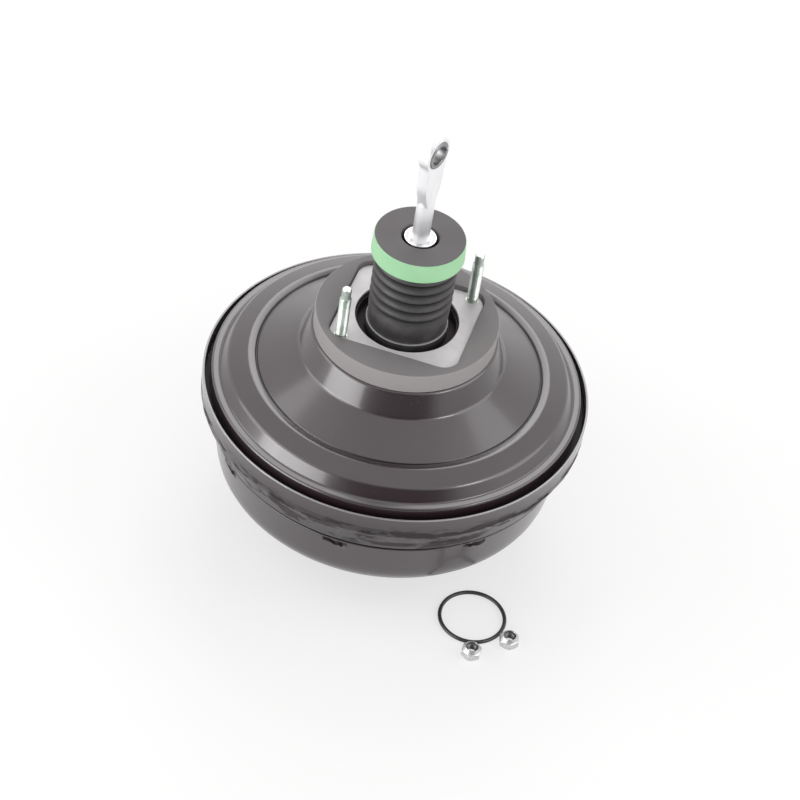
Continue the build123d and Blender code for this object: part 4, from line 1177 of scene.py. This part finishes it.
@dataclass
class FrontCasing:
    """Engine side casing with the crimped collar, the step and the lances."""

    sheet: float = 1.5
    steps: int = 288
    pitch: float = 4.0
    path: tuple[Point, ...] = (
        (135.84, -60.0), (135.84, -76.5), (128.6, -78.5), (126.4, -97.1), (124.0, -97.5), (124.0, -98.9),
        (125.7, -99.3), (118.5, -145.0), (62.0, -145.0), (54.0, -156.0), (24.0, -156.0),
    )
    bends: tuple[float, ...] = (1.3, 3.0, 0.5, 0.2, 0.2, 0.6, 22.0, 5.0, 4.0)
    rim: tuple[Point, ...] = ((134.8, -59.75), (135.6, -59.75))
    wall_radius: float = 118.0
    shortest_side: float = 0.4
    lances: int = 8
    lance_half: float = 8.6
    lance_top: float = -100.4
    lance_foot: float = -104.2
    lance_depth: float = 2.6
    lance_taper: float = 2.6
    lance_squeeze: float = 0.75
    lance_edge: float = 0.25
    lance_levels: tuple[float, ...] = (-100.25, -100.55, -104.05, -104.8)
    closest: float = 0.004
    pressed_radius: float = 112.0
    step_radius: float = 125.0
    torn_reach: tuple[float, float] = (1.5, 1.0)
    torn_waves: tuple[Triple, ...] = ((1.0, 0.9, 2.3), (0.7, 2.1, 1.0))
    torn_size: tuple[float, float] = (0.7, 0.6)
    torn_slope: float = 0.14
    collar_foot: float = -84.0
    collar_crest: float = -76.0
    collar_spread: float = 5.0
    collar_waves: tuple[Triple, ...] = (
        (1.0, 37.0, 0.7), (0.8, 61.0, 2.1), (0.6, 96.0, 4.0), (0.5, 19.0, 1.0)
    )
    collar_out: float = 0.10
    collar_up: float = 0.16
    collar_slow: Triple = (0.6, 0.4, 7.0)

    def angles(self) -> list[float]:
        """Angles of the turn, closer at both ends of each lance."""
        ends = (-self.lance_half, self.lance_half)
        near = [
            (math.tau * number / self.lances + (end + edge) / self.step_radius) % math.tau
            for number in range(self.lances)
            for end in ends
            for edge in (-self.lance_edge, self.lance_edge)
        ]
        kept = [
            angle
            for angle in even_turn(self.steps)
            if all(abs(math.remainder(angle - end, math.tau)) > self.closest for end in near)
        ]
        return sorted(kept + near)

    def section(self) -> list[Point]:
        """Closed section, with the levels of the lances' edges added to both walls."""
        loop = finer([*self.rim, *sheet_loop(self.path, self.bends, self.sheet)], self.pitch)
        out = []
        for point, following in zip(loop, [*loop[1:], loop[0]]):
            out.append(point)
            low, high = sorted((point[1], following[1]))
            if point[0] < self.wall_radius or high - low < self.shortest_side:
                continue
            inside = [level for level in self.lance_levels if low < level < high]
            for level in sorted(inside, reverse=point[1] > following[1]):
                share = (level - point[1]) / (following[1] - point[1])
                out.append((point[0] + share * (following[0] - point[0]), level))
        return out

    def shape(self, radius: float, level: float, angle: float) -> tuple[float, float]:
        """Lances pressed in with torn edges, and the collar's uneven crimp.

        Args:
            radius: radius of the point.
            level: its level.
            angle: its angle.

        Returns:
            Changes of radius and level.
        """
        out = up = 0.0
        middle = (self.lance_top + self.lance_foot) / 2
        number = round(angle / math.tau * self.lances)
        away = abs(angle - number * math.tau / self.lances) * self.step_radius
        pressed = radius > self.pressed_radius
        if pressed and self.lance_foot <= level <= self.lance_top and away < self.lance_half:
            taper = math.exp(-(((self.lance_half - away) / self.lance_taper) ** 2))
            out -= self.lance_depth
            up += (middle - level) * self.lance_squeeze * taper
        if pressed and self.lance_foot - self.torn_reach[0] < level < self.lance_top + self.torn_reach[1]:
            along = math.remainder(angle * self.lances, math.tau) / self.lances * self.step_radius
            near = math.exp(-((along / self.lance_half) ** 6))
            torn = sum(size * math.sin(along * wave + number * late) for size, wave, late in self.torn_waves)
            top = self.torn_size[0] * torn
            up += near * (top if level > middle else self.torn_size[1] * torn - self.torn_slope * along)
        if level > self.collar_foot:
            rough = sum(size * math.sin(angle * wave + late) for size, wave, late in self.collar_waves)
            rough *= math.exp(-(((level - self.collar_crest) / self.collar_spread) ** 2))
            even, slow, wave = self.collar_slow
            out += self.collar_out * rough
            up += self.collar_up * rough * (even + slow * math.sin(angle * wave))
        return out, up

    def build(self) -> bpy.types.Object:
        """Build the casing and dress it."""
        item = ring_mesh("casing_shell", self.section(), self.angles(), self.shape)
        return settle(item, Slot.SHELL, Body.HOUSING, "front_case")


@dataclass
class ThreadedStud:
    """A stud with a rolled thread and a plain dog point, by levels in millimetres."""

    low: float
    shank_top: float
    thread_low: float
    thread_high: float
    top: float
    radius: float = 4.0
    root: float = 3.3
    pitch: float = 1.25
    turn_steps: int = 6
    point_radius: float = 3.25
    chamfer: float = 0.6
    tip_height: float = 0.7
    runout: tuple[float, float] = (0.5, 0.9)
    neck: float = 0.1
    shank_rings: int = 2
    shank: float = 4.4
    crest: float = 1.25
    around: int = 24

    def reach(self, number: int, level: float, share: float) -> float:
        """Radius of a point of the shank, the neck or the thread.

        Args:
            number: number of its ring.
            level: its level.
            share: share of the turn.

        Returns:
            The radius.
        """
        if level >= self.thread_low:
            ridge = 1.0 - abs(2.0 * ((level / self.pitch - share) % 1.0) - 1.0)
            return self.root + (self.radius - self.root) * min(1.0, ridge * self.crest)
        return self.shank if number < self.shank_rings else self.radius - self.neck

    def mesh(self, name: str) -> bpy.types.Object:
        """Build one stud, standing on the booster's axis."""
        step = self.pitch / self.turn_steps
        levels = [self.low, self.shank_top, self.shank_top, self.thread_low - self.chamfer]
        rows = int((self.thread_high - self.thread_low) / step) + 1
        levels += [self.thread_low + i * step for i in range(rows)]
        tail = [(self.root, self.thread_high + self.runout[0])]
        tail.append((self.point_radius, self.thread_high + self.runout[1]))
        tail.append((self.point_radius, self.top - self.tip_height))
        tail.append((self.point_radius - self.chamfer, self.top))
        turn = even_turn(self.around)
        verts = [(0.0, 0.0, self.low * MM)]
        for number, level in enumerate(levels):
            for angle in turn:
                verts.append(on_circle(self.reach(number, level, angle / math.tau), angle, level))
        for radius, level in tail:
            verts += [on_circle(radius, angle, level) for angle in turn]
        rings = numbered(len(levels) + len(tail), self.around, 1)
        faces = skin(rings, False)
        tip = len(verts)
        verts.append((0.0, 0.0, self.top * MM))
        for i, j in enumerate([*range(1, self.around), 0]):
            faces += [(0, rings[0][j], rings[0][i]), (tip, rings[-1][i], rings[-1][j])]
        return smooth_object(name, verts, faces, RIBBED_CREASE)


@dataclass
class Hub:
    """Mounting face: gasket and the two studs."""

    seat: HubSeat
    repeat: Repeat
    stud: ThreadedStud
    spacing: float = 102.4
    gasket_radius: float = 63.5
    gasket_foot: float = -11.0
    gasket_top: float = 3.5
    foot_edge: Point = (0.3, 0.4)
    steps: int = 360
    outer_edge: tuple[Point, ...] = ((0.0, -1.1), (-0.12, -0.6), (-0.4, -0.25), (-0.9, 0.0))
    inner_edge: tuple[Point, ...] = ((-0.35, 0.0), (-0.08, -0.12), (0.0, -0.4))

    def gasket(self) -> bpy.types.Object:
        """Thick gasket with a soft outer edge."""
        outer, top, edge = self.gasket_radius, self.gasket_top, self.seat.radius
        loop: list[tuple[Radius, float]] = [(outer - self.foot_edge[0], self.gasket_foot)]
        loop.append((outer, self.gasket_foot + self.foot_edge[1]))
        loop += [(outer + across, top + up) for across, up in self.outer_edge]
        loop += [(edge(inset), top + up) for inset, up in self.inner_edge]
        loop.append((edge(0.0), self.gasket_foot))
        item = ring_mesh("gasket_pad", loop, even_turn(self.steps))
        return settle(item, Slot.GASKET, Body.HOUSING, "bulkhead_gasket")

    def build(self) -> None:
        """Build and dress the gasket and the studs."""
        self.gasket()
        studs = self.repeat.pair(self.stud.mesh("mount_studs"), self.spacing, Slot.ZINC)
        settle(studs, Slot.ZINC, Body.HOUSING, "bulkhead_studs")


@dataclass
class EngineSide:
    """Threaded studs on the engine side."""

    repeat: Repeat
    stud: ThreadedStud
    spacing: float = 76.0

    def build(self) -> None:
        """Build and dress the master cylinder's studs."""
        stud = self.stud.mesh("cylinder_studs")
        stud.data.transform(Matrix.Rotation(math.pi, 4, "X"))
        settle(self.repeat.pair(stud, self.spacing, Slot.ZINC), Slot.ZINC, Body.HOUSING, "main_studs")


@dataclass
class DustBoot:
    """Ribbed rubber boot between the hub and the band."""

    radius: float = 28.4
    valley: float = 24.6
    wall: float = 1.2
    inside: float = 23.4
    lined_from: int = 8
    top: float = 57.9
    folds: int = 5
    pitch: float = 7.8
    first: float = 19.3
    steps: int = 160
    foot: tuple[Point, ...] = (
        (-0.6, -11.8), (0.0, -11.2), (0.0, -1.4), (-0.15, -0.75), (-0.6, -0.5),
        (-1.3, -0.2), (-1.6, 0.9), (-1.1, 4.0), (-0.6, 9.0), (-0.4, 13.5),
    )
    fold: tuple[Point, ...] = (
        (-0.30, 0.62), (-0.18, 0.34), (-0.08, 0.10), (0.0, 0.0), (0.05, 0.05), (0.10, 0.34),
        (0.15, 0.74), (0.21, 0.94), (0.29, 1.0), (0.40, 0.99), (0.52, 0.92), (0.62, 0.80),
    )
    head: tuple[Point, ...] = ((-0.5, -2.0), (-0.6, 0.0))
    mouth: tuple[Point, ...] = ((25.1, -4.0), (25.1, -11.8))
    held: tuple[float, float] = (-4.0, 57.8)

    def build(self) -> None:
        """Build the boot and dress it."""
        outer = [(self.radius + across, level) for across, level in self.foot]
        for number in range(self.folds):
            level = self.first + number * self.pitch
            for share, reach in self.fold:
                outer.append((self.valley + (self.radius - self.valley) * reach, level + share * self.pitch))
        outer += [(self.radius + across, self.top + up) for across, up in self.head]
        inner = [(max(radius - self.wall, self.inside), level) for radius, level in outer[self.lined_from :]]
        loop = [*outer, *inner[::-1], *self.mouth]
        item = ring_mesh("ribbed_boot", loop, even_turn(self.steps), None, RIBBED_CREASE)
        stretch(item, Slot.BOOT, "dust_boot", (Body.HOUSING, Body.PISTON), *self.held)


@dataclass
class BootEnd:
    """Green band and dark foam disc at the boot's end."""

    top: float = 72.0
    band_height: float = 14.0
    band_inside: float = 29.4
    band_foot: float = 31.8
    band_head: float = 31.0
    band_bends: tuple[float, ...] = (0.9, 0.8, 0.3)
    disc_path: tuple[Point, ...] = (
        (12.9, -11.6), (12.9, 0.5), (30.6, 0.5), (30.6, 0.02), (29.2, -0.3), (29.2, -11.6), (12.9, -11.6)
    )
    disc_bends: tuple[float, ...] = (0.9, 0.4, 0.1, 0.2, 0.3)
    bend_steps: int = 6
    band_pitch: float = 3.0
    disc_pitch: float = 2.5
    steps: int = 192

    def build(self) -> None:
        """Build and dress the soft-edged band, and the disc with a rounded rim and mouth."""
        inside, low, turn = self.band_inside, self.top - self.band_height, even_turn(self.steps)
        points = [(inside, low), (self.band_foot, low), (self.band_head, self.top), (inside, self.top)]
        loop = rounded([*points, points[0]], self.band_bends, self.bend_steps)[:-1]
        item = ring_mesh("end_band", finer(loop, self.band_pitch), turn)
        settle(item, Slot.BAND, Body.PISTON, "boot_band")
        points = [(radius, self.top + up) for radius, up in self.disc_path]
        loop = rounded(points, self.disc_bends, self.bend_steps)[:-1]
        item = ring_mesh("foam_disc", finer(loop, self.disc_pitch), turn)
        settle(item, Slot.FOAM, Body.PISTON, "silencer_disc")


@dataclass
class PushRod:
    """Ball-ended push rod with a forged blade and an eye, its bush and its cup."""

    turn: float = math.radians(-64.0)
    eye_level: float = 142.5
    eye_radius: float = 12.5
    eye_steps: int = 22
    thickness: float = 8.0
    bevel: float = 1.1
    bevel_waist: float = 0.3
    bore: float = 9.65
    bore_chamfer: float = 0.44
    blade_half: tuple[Point, ...] = (
        (5.2, 100.5), (6.3, 106.0), (8.4, 112.5), (9.4, 117.5), (9.6, 122.0), (9.7, 128.0), (10.2, 133.2)
    )
    ball: float = 5.5
    ball_level: float = -23.0
    ball_share: float = 0.742
    neck: float = 3.8
    shaft: tuple[Point, ...] = (
        (3.8, -18.6), (3.8, -13.0), (6.0, -5.0), (6.0, 98.0),
        (5.9, 104.0), (5.4, 110.0), (4.4, 115.0), (3.4, 117.5),
    )
    shaft_end: float = 118.2
    core: float = 0.001
    ball_steps: int = 12
    stem_steps: int = 64
    bush_section: tuple[Point, ...] = (
        (7.05, -4.5), (9.3, -4.5), (9.6, -4.2), (9.6, 4.2),
        (9.3, 4.5), (7.05, 4.5), (6.8, 4.25), (6.8, -4.25),
    )
    bush_slot: float = math.radians(8.0)
    bush_gap: float = 1.8 / 8.2
    bush_steps: int = 60
    cup_path: tuple[Point, ...] = (
        (6.05, 69.0), (10.4, 69.0), (10.9, 72.0), (10.3, 72.0), (8.2, 70.9), (6.05, 70.2), (6.05, 69.0)
    )
    cup_bends: tuple[float, ...] = (0.6, 0.25, 0.4, 2.0, 0.2)
    cup_bend_steps: int = 5
    cup_steps: int = 128

    def plane(self) -> Matrix:
        """Matrix from the blade's flat drawing (across, up, through) to the booster's frame."""
        through = Vector((math.cos(self.turn), math.sin(self.turn), 0.0))
        across = Vector((-math.sin(self.turn), math.cos(self.turn), 0.0))
        return Matrix((across, Vector((0.0, 0.0, 1.0)), through)).transposed().to_4x4()

    def outline(self) -> list[Point]:
        """Outline of the blade and the eye, from its right foot round the eye to its left foot."""
        start = math.asin((self.blade_half[-1][1] - self.eye_level) / self.eye_radius)
        arc = []
        for i in range(1, self.eye_steps):
            angle = start + (math.pi - 2 * start) * i / self.eye_steps
            across, up = self.eye_radius * math.cos(angle), self.eye_radius * math.sin(angle)
            arc.append((across, self.eye_level + up))
        return [*self.blade_half, *arc, *((-x, z) for x, z in reversed(self.blade_half))]

    def blade(self) -> bpy.types.Object:
        """Forged blade with the eye, as a bevelled plate with a round bore."""
        outline = self.outline()
        count, half, waist = len(outline), self.thickness / 2, self.bevel * self.bevel_waist
        plan = [(-half, self.bevel), (-half + waist, waist), (-half + self.bevel, 0.0)]
        plan += [(-depth, inset) for depth, inset in reversed(plan)]
        middle = Vector((0.0, self.eye_level))
        outside, inside = [], []
        for depth, inset in plan:
            chamfer = self.bore_chamfer if inset == self.bevel else 0.0
            for i, place in enumerate(outline):
                ahead = Vector(outline[(i + 1) % count]) - Vector(outline[i - 1])
                point = Vector(place) - Vector((ahead.y, -ahead.x)).normalized() * inset
                ring = middle + (Vector(place) - middle).normalized() * (self.bore + chamfer)
                outside.append((point.x * MM, point.y * MM, depth * MM))
                inside.append((ring.x * MM, ring.y * MM, depth * MM))
        walls = numbered(len(plan), count)
        walls += reversed(numbered(len(plan), count, len(outside)))
        return smooth_object("blade", outside + inside, skin(walls, True), MACHINED_CREASE, self.plane())

    def stem(self) -> bpy.types.Object:
        """Turned part of the rod from the ball to the blade's root."""
        path: list[Point] = []
        for i in range(1, self.ball_steps + 1):
            angle = -math.pi / 2 + math.pi * self.ball_share * i / self.ball_steps
            radius, up = self.ball * math.cos(angle), self.ball * math.sin(angle)
            if up <= 0 or radius >= self.neck:
                path.append((radius, self.ball_level + up))
        closed = [(self.core, self.ball_level - self.ball), *path, *self.shaft, (self.core, self.shaft_end)]
        return ring_mesh("stem", closed, even_turn(self.stem_steps), None, MACHINED_CREASE)

    def bush(self) -> None:
        """Rolled bush with its slot towards the upper right."""
        verts = []
        for i in range(self.bush_steps + 1):
            angle = self.bush_slot + self.bush_gap / 2 + (math.tau - self.bush_gap) * i / self.bush_steps
            for radius, depth in self.bush_section:
                x, z = radius * math.cos(angle), self.eye_level + radius * math.sin(angle)
                verts.append((x * MM, z * MM, depth * MM))
        rings = numbered(self.bush_steps + 1, len(self.bush_section))
        faces = [*skin(rings, False), rings[0][::-1], rings[-1]]
        item = smooth_object("eye_sleeve", verts, faces, MACHINED_CREASE, self.plane())
        settle(item, Slot.BUSH, Body.ROD, "eye_bush")

    def build(self) -> None:
        """Build and dress the rod, the bush and the dished cup."""
        rod = join_meshes("push_rod_forging", [self.stem(), self.blade()], MACHINED_CREASE)
        settle(rod, Slot.FORGING, Body.ROD, "input_rod")
        self.bush()
        loop = rounded(self.cup_path, self.cup_bends, self.cup_bend_steps)[:-1]
        cup = ring_mesh("dished_cup", loop, even_turn(self.cup_steps))
        settle(cup, Slot.CUP, Body.ROD, "rod_cup")


@dataclass
class LooseParts:
    """O-ring and lock nuts on the floor."""

    floor: float = -180.0
    turn: float = math.radians(-34.2)
    ring_place: Point = (79.7, -101.1)
    ring_radius: float = 23.1
    ring_wire: float = 1.4
    ring_sway: Triple = (0.12, 2.0, 0.8)
    nut_places: tuple[Point, Point] = ((81.9, -133.9), (107.2, -118.1))
    nut_turns: tuple[float, float] = (17.0, 34.0)
    nut_half: float = 6.5
    nut_foot: tuple[Point, ...] = ((4.4, 0.0), (6.0, 0.0))
    nut_sides: tuple[Point, ...] = (
        (6.45, 0.12), (6.9, 0.42), (7.55, 0.9), (7.55, 4.7), (7.0, 5.15), (6.6, 5.4)
    )
    nut_cone: tuple[Point, ...] = (
        (6.1, 5.7), (5.75, 6.3), (5.1, 7.7), (4.85, 8.0), (4.3, 8.0), (4.0, 7.65), (3.9, 6.4)
    )
    thread_top: float = 6.2
    thread_step: float = 0.5
    thread_radii: tuple[float, float] = (3.45, 4.0)
    thread_rows: int = 12
    thread_foot: Point = (4.0, 0.5)
    wire_steps: int = 16
    ring_steps: int = 128
    nut_steps: int = 144

    def spot(self, place: Point) -> Vector:
        """Floor point of a place seen from the camera's side."""
        x = place[0] * math.cos(self.turn) - place[1] * math.sin(self.turn)
        y = place[0] * math.sin(self.turn) + place[1] * math.cos(self.turn)
        return Vector((x, y, self.floor)) * MM

    def sway(self, radius: float, level: float, angle: float) -> Point:
        """Change of radius and level of a ring that lies a little oval."""
        size, wave, late = self.ring_sway
        return size * math.sin(wave * angle + late), 0.0

    def o_ring(self) -> None:
        """Round rubber ring, slightly out of true."""
        wire = self.ring_wire
        turn = even_turn(self.wire_steps)
        loop = [(self.ring_radius + wire * math.cos(angle), wire + wire * math.sin(angle)) for angle in turn]
        item = ring_mesh("floor_o_ring", loop, even_turn(self.ring_steps), self.sway)
        item.data.transform(Matrix.Translation(self.spot(self.ring_place)))
        settle(item, Slot.SEAL, Body.O_RING, "spigot_o_ring")

    def side(self, limit: float, turn: float) -> Callable[[float], float]:
        """Reach of the turned hexagon by angle, cut by a circle of a limit."""

        def reach(angle: float) -> float:
            """Reach at an angle."""
            wedge = (angle - turn + math.pi / 6) % (math.pi / 3) - math.pi / 6
            return min(self.nut_half / math.cos(wedge), limit)

        return reach

    def nut(self, number: int, body: Body) -> None:
        """Lock nut with chamfered corners, conical head and threaded bore.

        Args:
            number: the nut's number from 0.
            body: the body that carries it.
        """
        turn = math.radians(self.nut_turns[number])
        thread = []
        for i in range(self.thread_rows):
            thread.append((self.thread_radii[i % 2], self.thread_top - i * self.thread_step))
        sides = [(self.side(limit, turn), level) for limit, level in self.nut_sides]
        loop = [*self.nut_foot, *sides, *self.nut_cone, *thread, self.thread_foot]
        item = ring_mesh(f"floor_nut_{number + 1}", loop, even_turn(self.nut_steps), None, NUT_CREASE)
        spot = self.spot(self.nut_places[number])
        item.data.transform(Matrix.Translation(spot))
        settle(item, Slot.ZINC, body, f"lock_nut_{number + 1}")
        item.data.materials[0] = NutSteel(f"nut_steel_{number + 1}", tuple(spot.xy)).make()

    def build(self) -> None:
        """Build and dress the loose parts."""
        self.o_ring()
        self.nut(0, Body.NUT_1)
        self.nut(1, Body.NUT_2)


@dataclass
class Inside:
    """Springs and diaphragms between the housing, the power piston and the plunger; they follow no body."""

    coil: Coil
    stroke: tuple[Body, Body] = (Body.HOUSING, Body.PISTON)
    pedal: tuple[Body, Body] = (Body.PISTON, Body.PLUNGER)
    main_levels: tuple[float, float] = (-149.2, -114.6)
    main_sizes: tuple[float, ...] = (27.8, 31.5, 3.25, 1.6)
    rod_levels: tuple[float, float] = (12.6, 21.05)
    rod_sizes: tuple[float, ...] = (9.3, 9.3, 3.0, 0.6)
    rod_held: tuple[float, float] = (13.2, 20.7)
    rear: tuple[Point, ...] = (
        (27.3, -56.4), (48.0, -56.4), (56.0, -51.4), (92.0, -51.4), (100.0, -56.4), (117.2, -56.4),
        (122.8, -71.2), (127.2, -72.6), (127.2, -74.7), (133.4, -74.7), (133.4, -70.3), (127.6, -70.3),
        (124.0, -69.7), (118.6, -54.9), (100.2, -54.9), (92.2, -49.9), (55.8, -49.9), (47.8, -54.9),
        (31.0, -54.9), (31.0, -52.4), (27.3, -52.4),
    )
    rear_held: tuple[float, float] = (-72.5, -57.0)
    front: tuple[Point, ...] = (
        (21.3, -109.4), (109.5, -109.4), (119.6, -99.5), (122.3, -99.2), (122.3, -97.0), (119.3, -97.0),
        (118.2, -98.4), (109.0, -107.9), (21.3, -107.9),
    )
    front_held: tuple[float, float] = (-98.4, -107.8)
    pitch: float = 3.0
    steps: int = 160

    def build(self) -> None:
        """Build and dress the soft and sprung pieces inside."""
        spring = self.coil.wind("main_spring", *self.main_levels, *self.main_sizes)
        stretch(spring, Slot.WIRE, "return_spring", self.stroke, *self.main_levels)
        spring = self.coil.wind("rod_spring", *self.rod_levels, *self.rod_sizes)
        stretch(spring, Slot.WIRE, "rod_return_spring", self.pedal, *self.rod_held)
        film = ring_mesh("rear_film", finer(self.rear, self.pitch), even_turn(self.steps))
        stretch(film, Slot.FILM, "rear_diaphragm", self.stroke, *self.rear_held)
        film = ring_mesh("front_film", finer(self.front, self.pitch), even_turn(self.steps))
        stretch(film, Slot.FILM, "front_diaphragm", self.stroke, *self.front_held)


@dataclass(frozen=True)
class Lamp:
    """Soft square lamp aimed at the booster and unseen by the camera, in metres and watts."""

    name: str
    place: Triple
    size: float
    power: float
    on_matt: bool = True
    on_gloss: bool = True
    aim: Triple = (0.0, 0.0, -0.05)

    def build(self) -> None:
        """Build the lamp."""
        data = bpy.data.lights.new(self.name, "AREA")
        data.shape = "SQUARE"
        data.size = self.size
        data.energy = self.power
        item = link(self.name, data)
        item.visible_camera = False
        item.visible_diffuse = self.on_matt
        item.visible_glossy = self.on_gloss
        way = Vector(self.aim) - Vector(self.place)
        item.matrix_world = Matrix.Translation(self.place) @ way.to_track_quat("-Z", "Y").to_matrix().to_4x4()


@dataclass
class Studio:
    """Camera, lamps, floor and surroundings."""

    floor: float = -0.1801
    floor_half: float = 4.0
    eye: Triple = (-0.72088, -1.06074, 1.13188)
    right: Triple = (0.87813, -0.46282, 0.12119)
    up: Triple = (0.24493, 0.65249, 0.71712)
    back: Triple = (-0.41098, -0.60004, 0.68633)
    lens: float = 112.5
    sensor: float = 36.0
    clip: tuple[float, float] = (0.05, 20.0)
    dark_side: Triple = (-0.54, -0.80, 0.26)
    fade_span: tuple[float, float] = (0.62, 0.86)
    world: float = 1.08
    shade: float = 0.03
    plain: float = 0.62
    lamps: tuple[Lamp, ...] = (
        Lamp("lamp_back", (0.70, 1.05, 1.15), 1.05, 9.0),
        Lamp("lamp_left", (-1.20, 0.55, 0.78), 1.15, 7.6),
        Lamp("lamp_right", (1.10, -0.78, 0.80), 1.15, 6.0),
        Lamp("lamp_strip", (0.62, -1.33, 1.18), 0.44, 5.0, on_matt=False),
        Lamp("lamp_patch", (-1.56, -0.10, 0.26), 1.20, 22.0, on_matt=False),
        Lamp("lamp_front", (-0.95, -1.40, 0.45), 1.2, 7.0, on_gloss=False),
    )

    def camera(self) -> None:
        """Camera at the photograph's place."""
        data = bpy.data.cameras.new("view_camera")
        data.lens = self.lens
        data.sensor_width = self.sensor
        data.clip_start, data.clip_end = self.clip
        item = link("view_camera", data)
        turn = Matrix((self.right, self.up, self.back)).transposed().to_4x4()
        item.matrix_world = Matrix.Translation(self.eye) @ turn
        bpy.context.scene.camera = item

    def surroundings(self) -> None:
        """White world for the camera, and on the object a plain light that fades towards one side."""
        world = bpy.data.worlds.new("studio_world")
        bpy.context.scene.world = world
        graph = Graph(world, "ShaderNodeOutputWorld")
        rays = graph.node("ShaderNodeLightPath", {}, {}).outputs
        way = graph.node("ShaderNodeTexCoord", {}, {}).outputs["Generated"]
        toward = graph.node("ShaderNodeVectorMath", {"operation": "DOT_PRODUCT"}, {0: way, 1: self.dark_side})
        sockets = {
            "Value": toward.outputs["Value"],
            "From Min": self.fade_span[0],
            "From Max": self.fade_span[1],
            "To Min": self.world,
            "To Max": self.shade,
        }
        fade = graph.node("ShaderNodeMapRange", {"interpolation_type": "SMOOTHSTEP"}, sockets).outputs[0]
        soft = graph.node("ShaderNodeMix", {}, {0: rays["Is Glossy Ray"], 2: self.plain, 3: fade}).outputs[0]
        white = (1.0, 1.0, 1.0)
        light = graph.node("ShaderNodeBackground", {}, {0: white, 1: soft}).outputs[0]
        seen = graph.node("ShaderNodeBackground", {}, {0: white, 1: 1.0}).outputs[0]
        mix = graph.node("ShaderNodeMixShader", {}, {0: rays["Is Camera Ray"], 1: light, 2: seen})
        graph.close(mix.outputs[0])

    def ground(self) -> None:
        """Large pale floor."""
        signs = ((-1, -1), (1, -1), (1, 1), (-1, 1))
        mesh = bpy.data.meshes.new("studio_floor")
        corners = [(x * self.floor_half, y * self.floor_half, self.floor) for x, y in signs]
        mesh.from_pydata(corners, [], [(0, 1, 2, 3)])
        item = link("studio_floor", mesh)
        mesh.materials.append(StudioWhite("studio_white").make())

    def build(self) -> None:
        """Build the studio."""
        self.camera()
        for lamp in self.lamps:
            lamp.build()
        self.surroundings()
        self.ground()
        bpy.context.scene.view_settings.view_transform = "Standard"


def dress_nodes() -> None:
    """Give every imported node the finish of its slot."""
    slots = {row["node"]: Slot(row["material_slot"]) for row in frame["record"]["subparts"]}
    for name, item in frame["nodes"].items():
        material = FINISHES[slots[name]].make()
        if not item.material_slots:
            item.data.materials.append(material)
        for holder in item.material_slots:
            holder.material = material
        LOG.info("%s: packed node in %s", name, slots[name].value)


def main() -> None:
    """Build the booster's pieces round the frame."""
    logging.basicConfig(level=logging.INFO, format="%(name)s %(message)s")
    seat = HubSeat()
    repeat = Repeat("ring_of_copies")
    dress_nodes()
    RearCover(seat).build()
    FrontCasing().build()
    Hub(seat, repeat, ThreadedStud(-3.6, 0.0, 2.0, 32.6, 41.0)).build()
    DustBoot().build()
    BootEnd().build()
    PushRod().build()
    LooseParts().build()
    EngineSide(repeat, ThreadedStud(148.6, 156.0, 158.0, 176.0, 180.0)).build()
    Inside(Coil("wire_coil")).build()
    Studio().build()


if __name__ == "__main__":
    main()
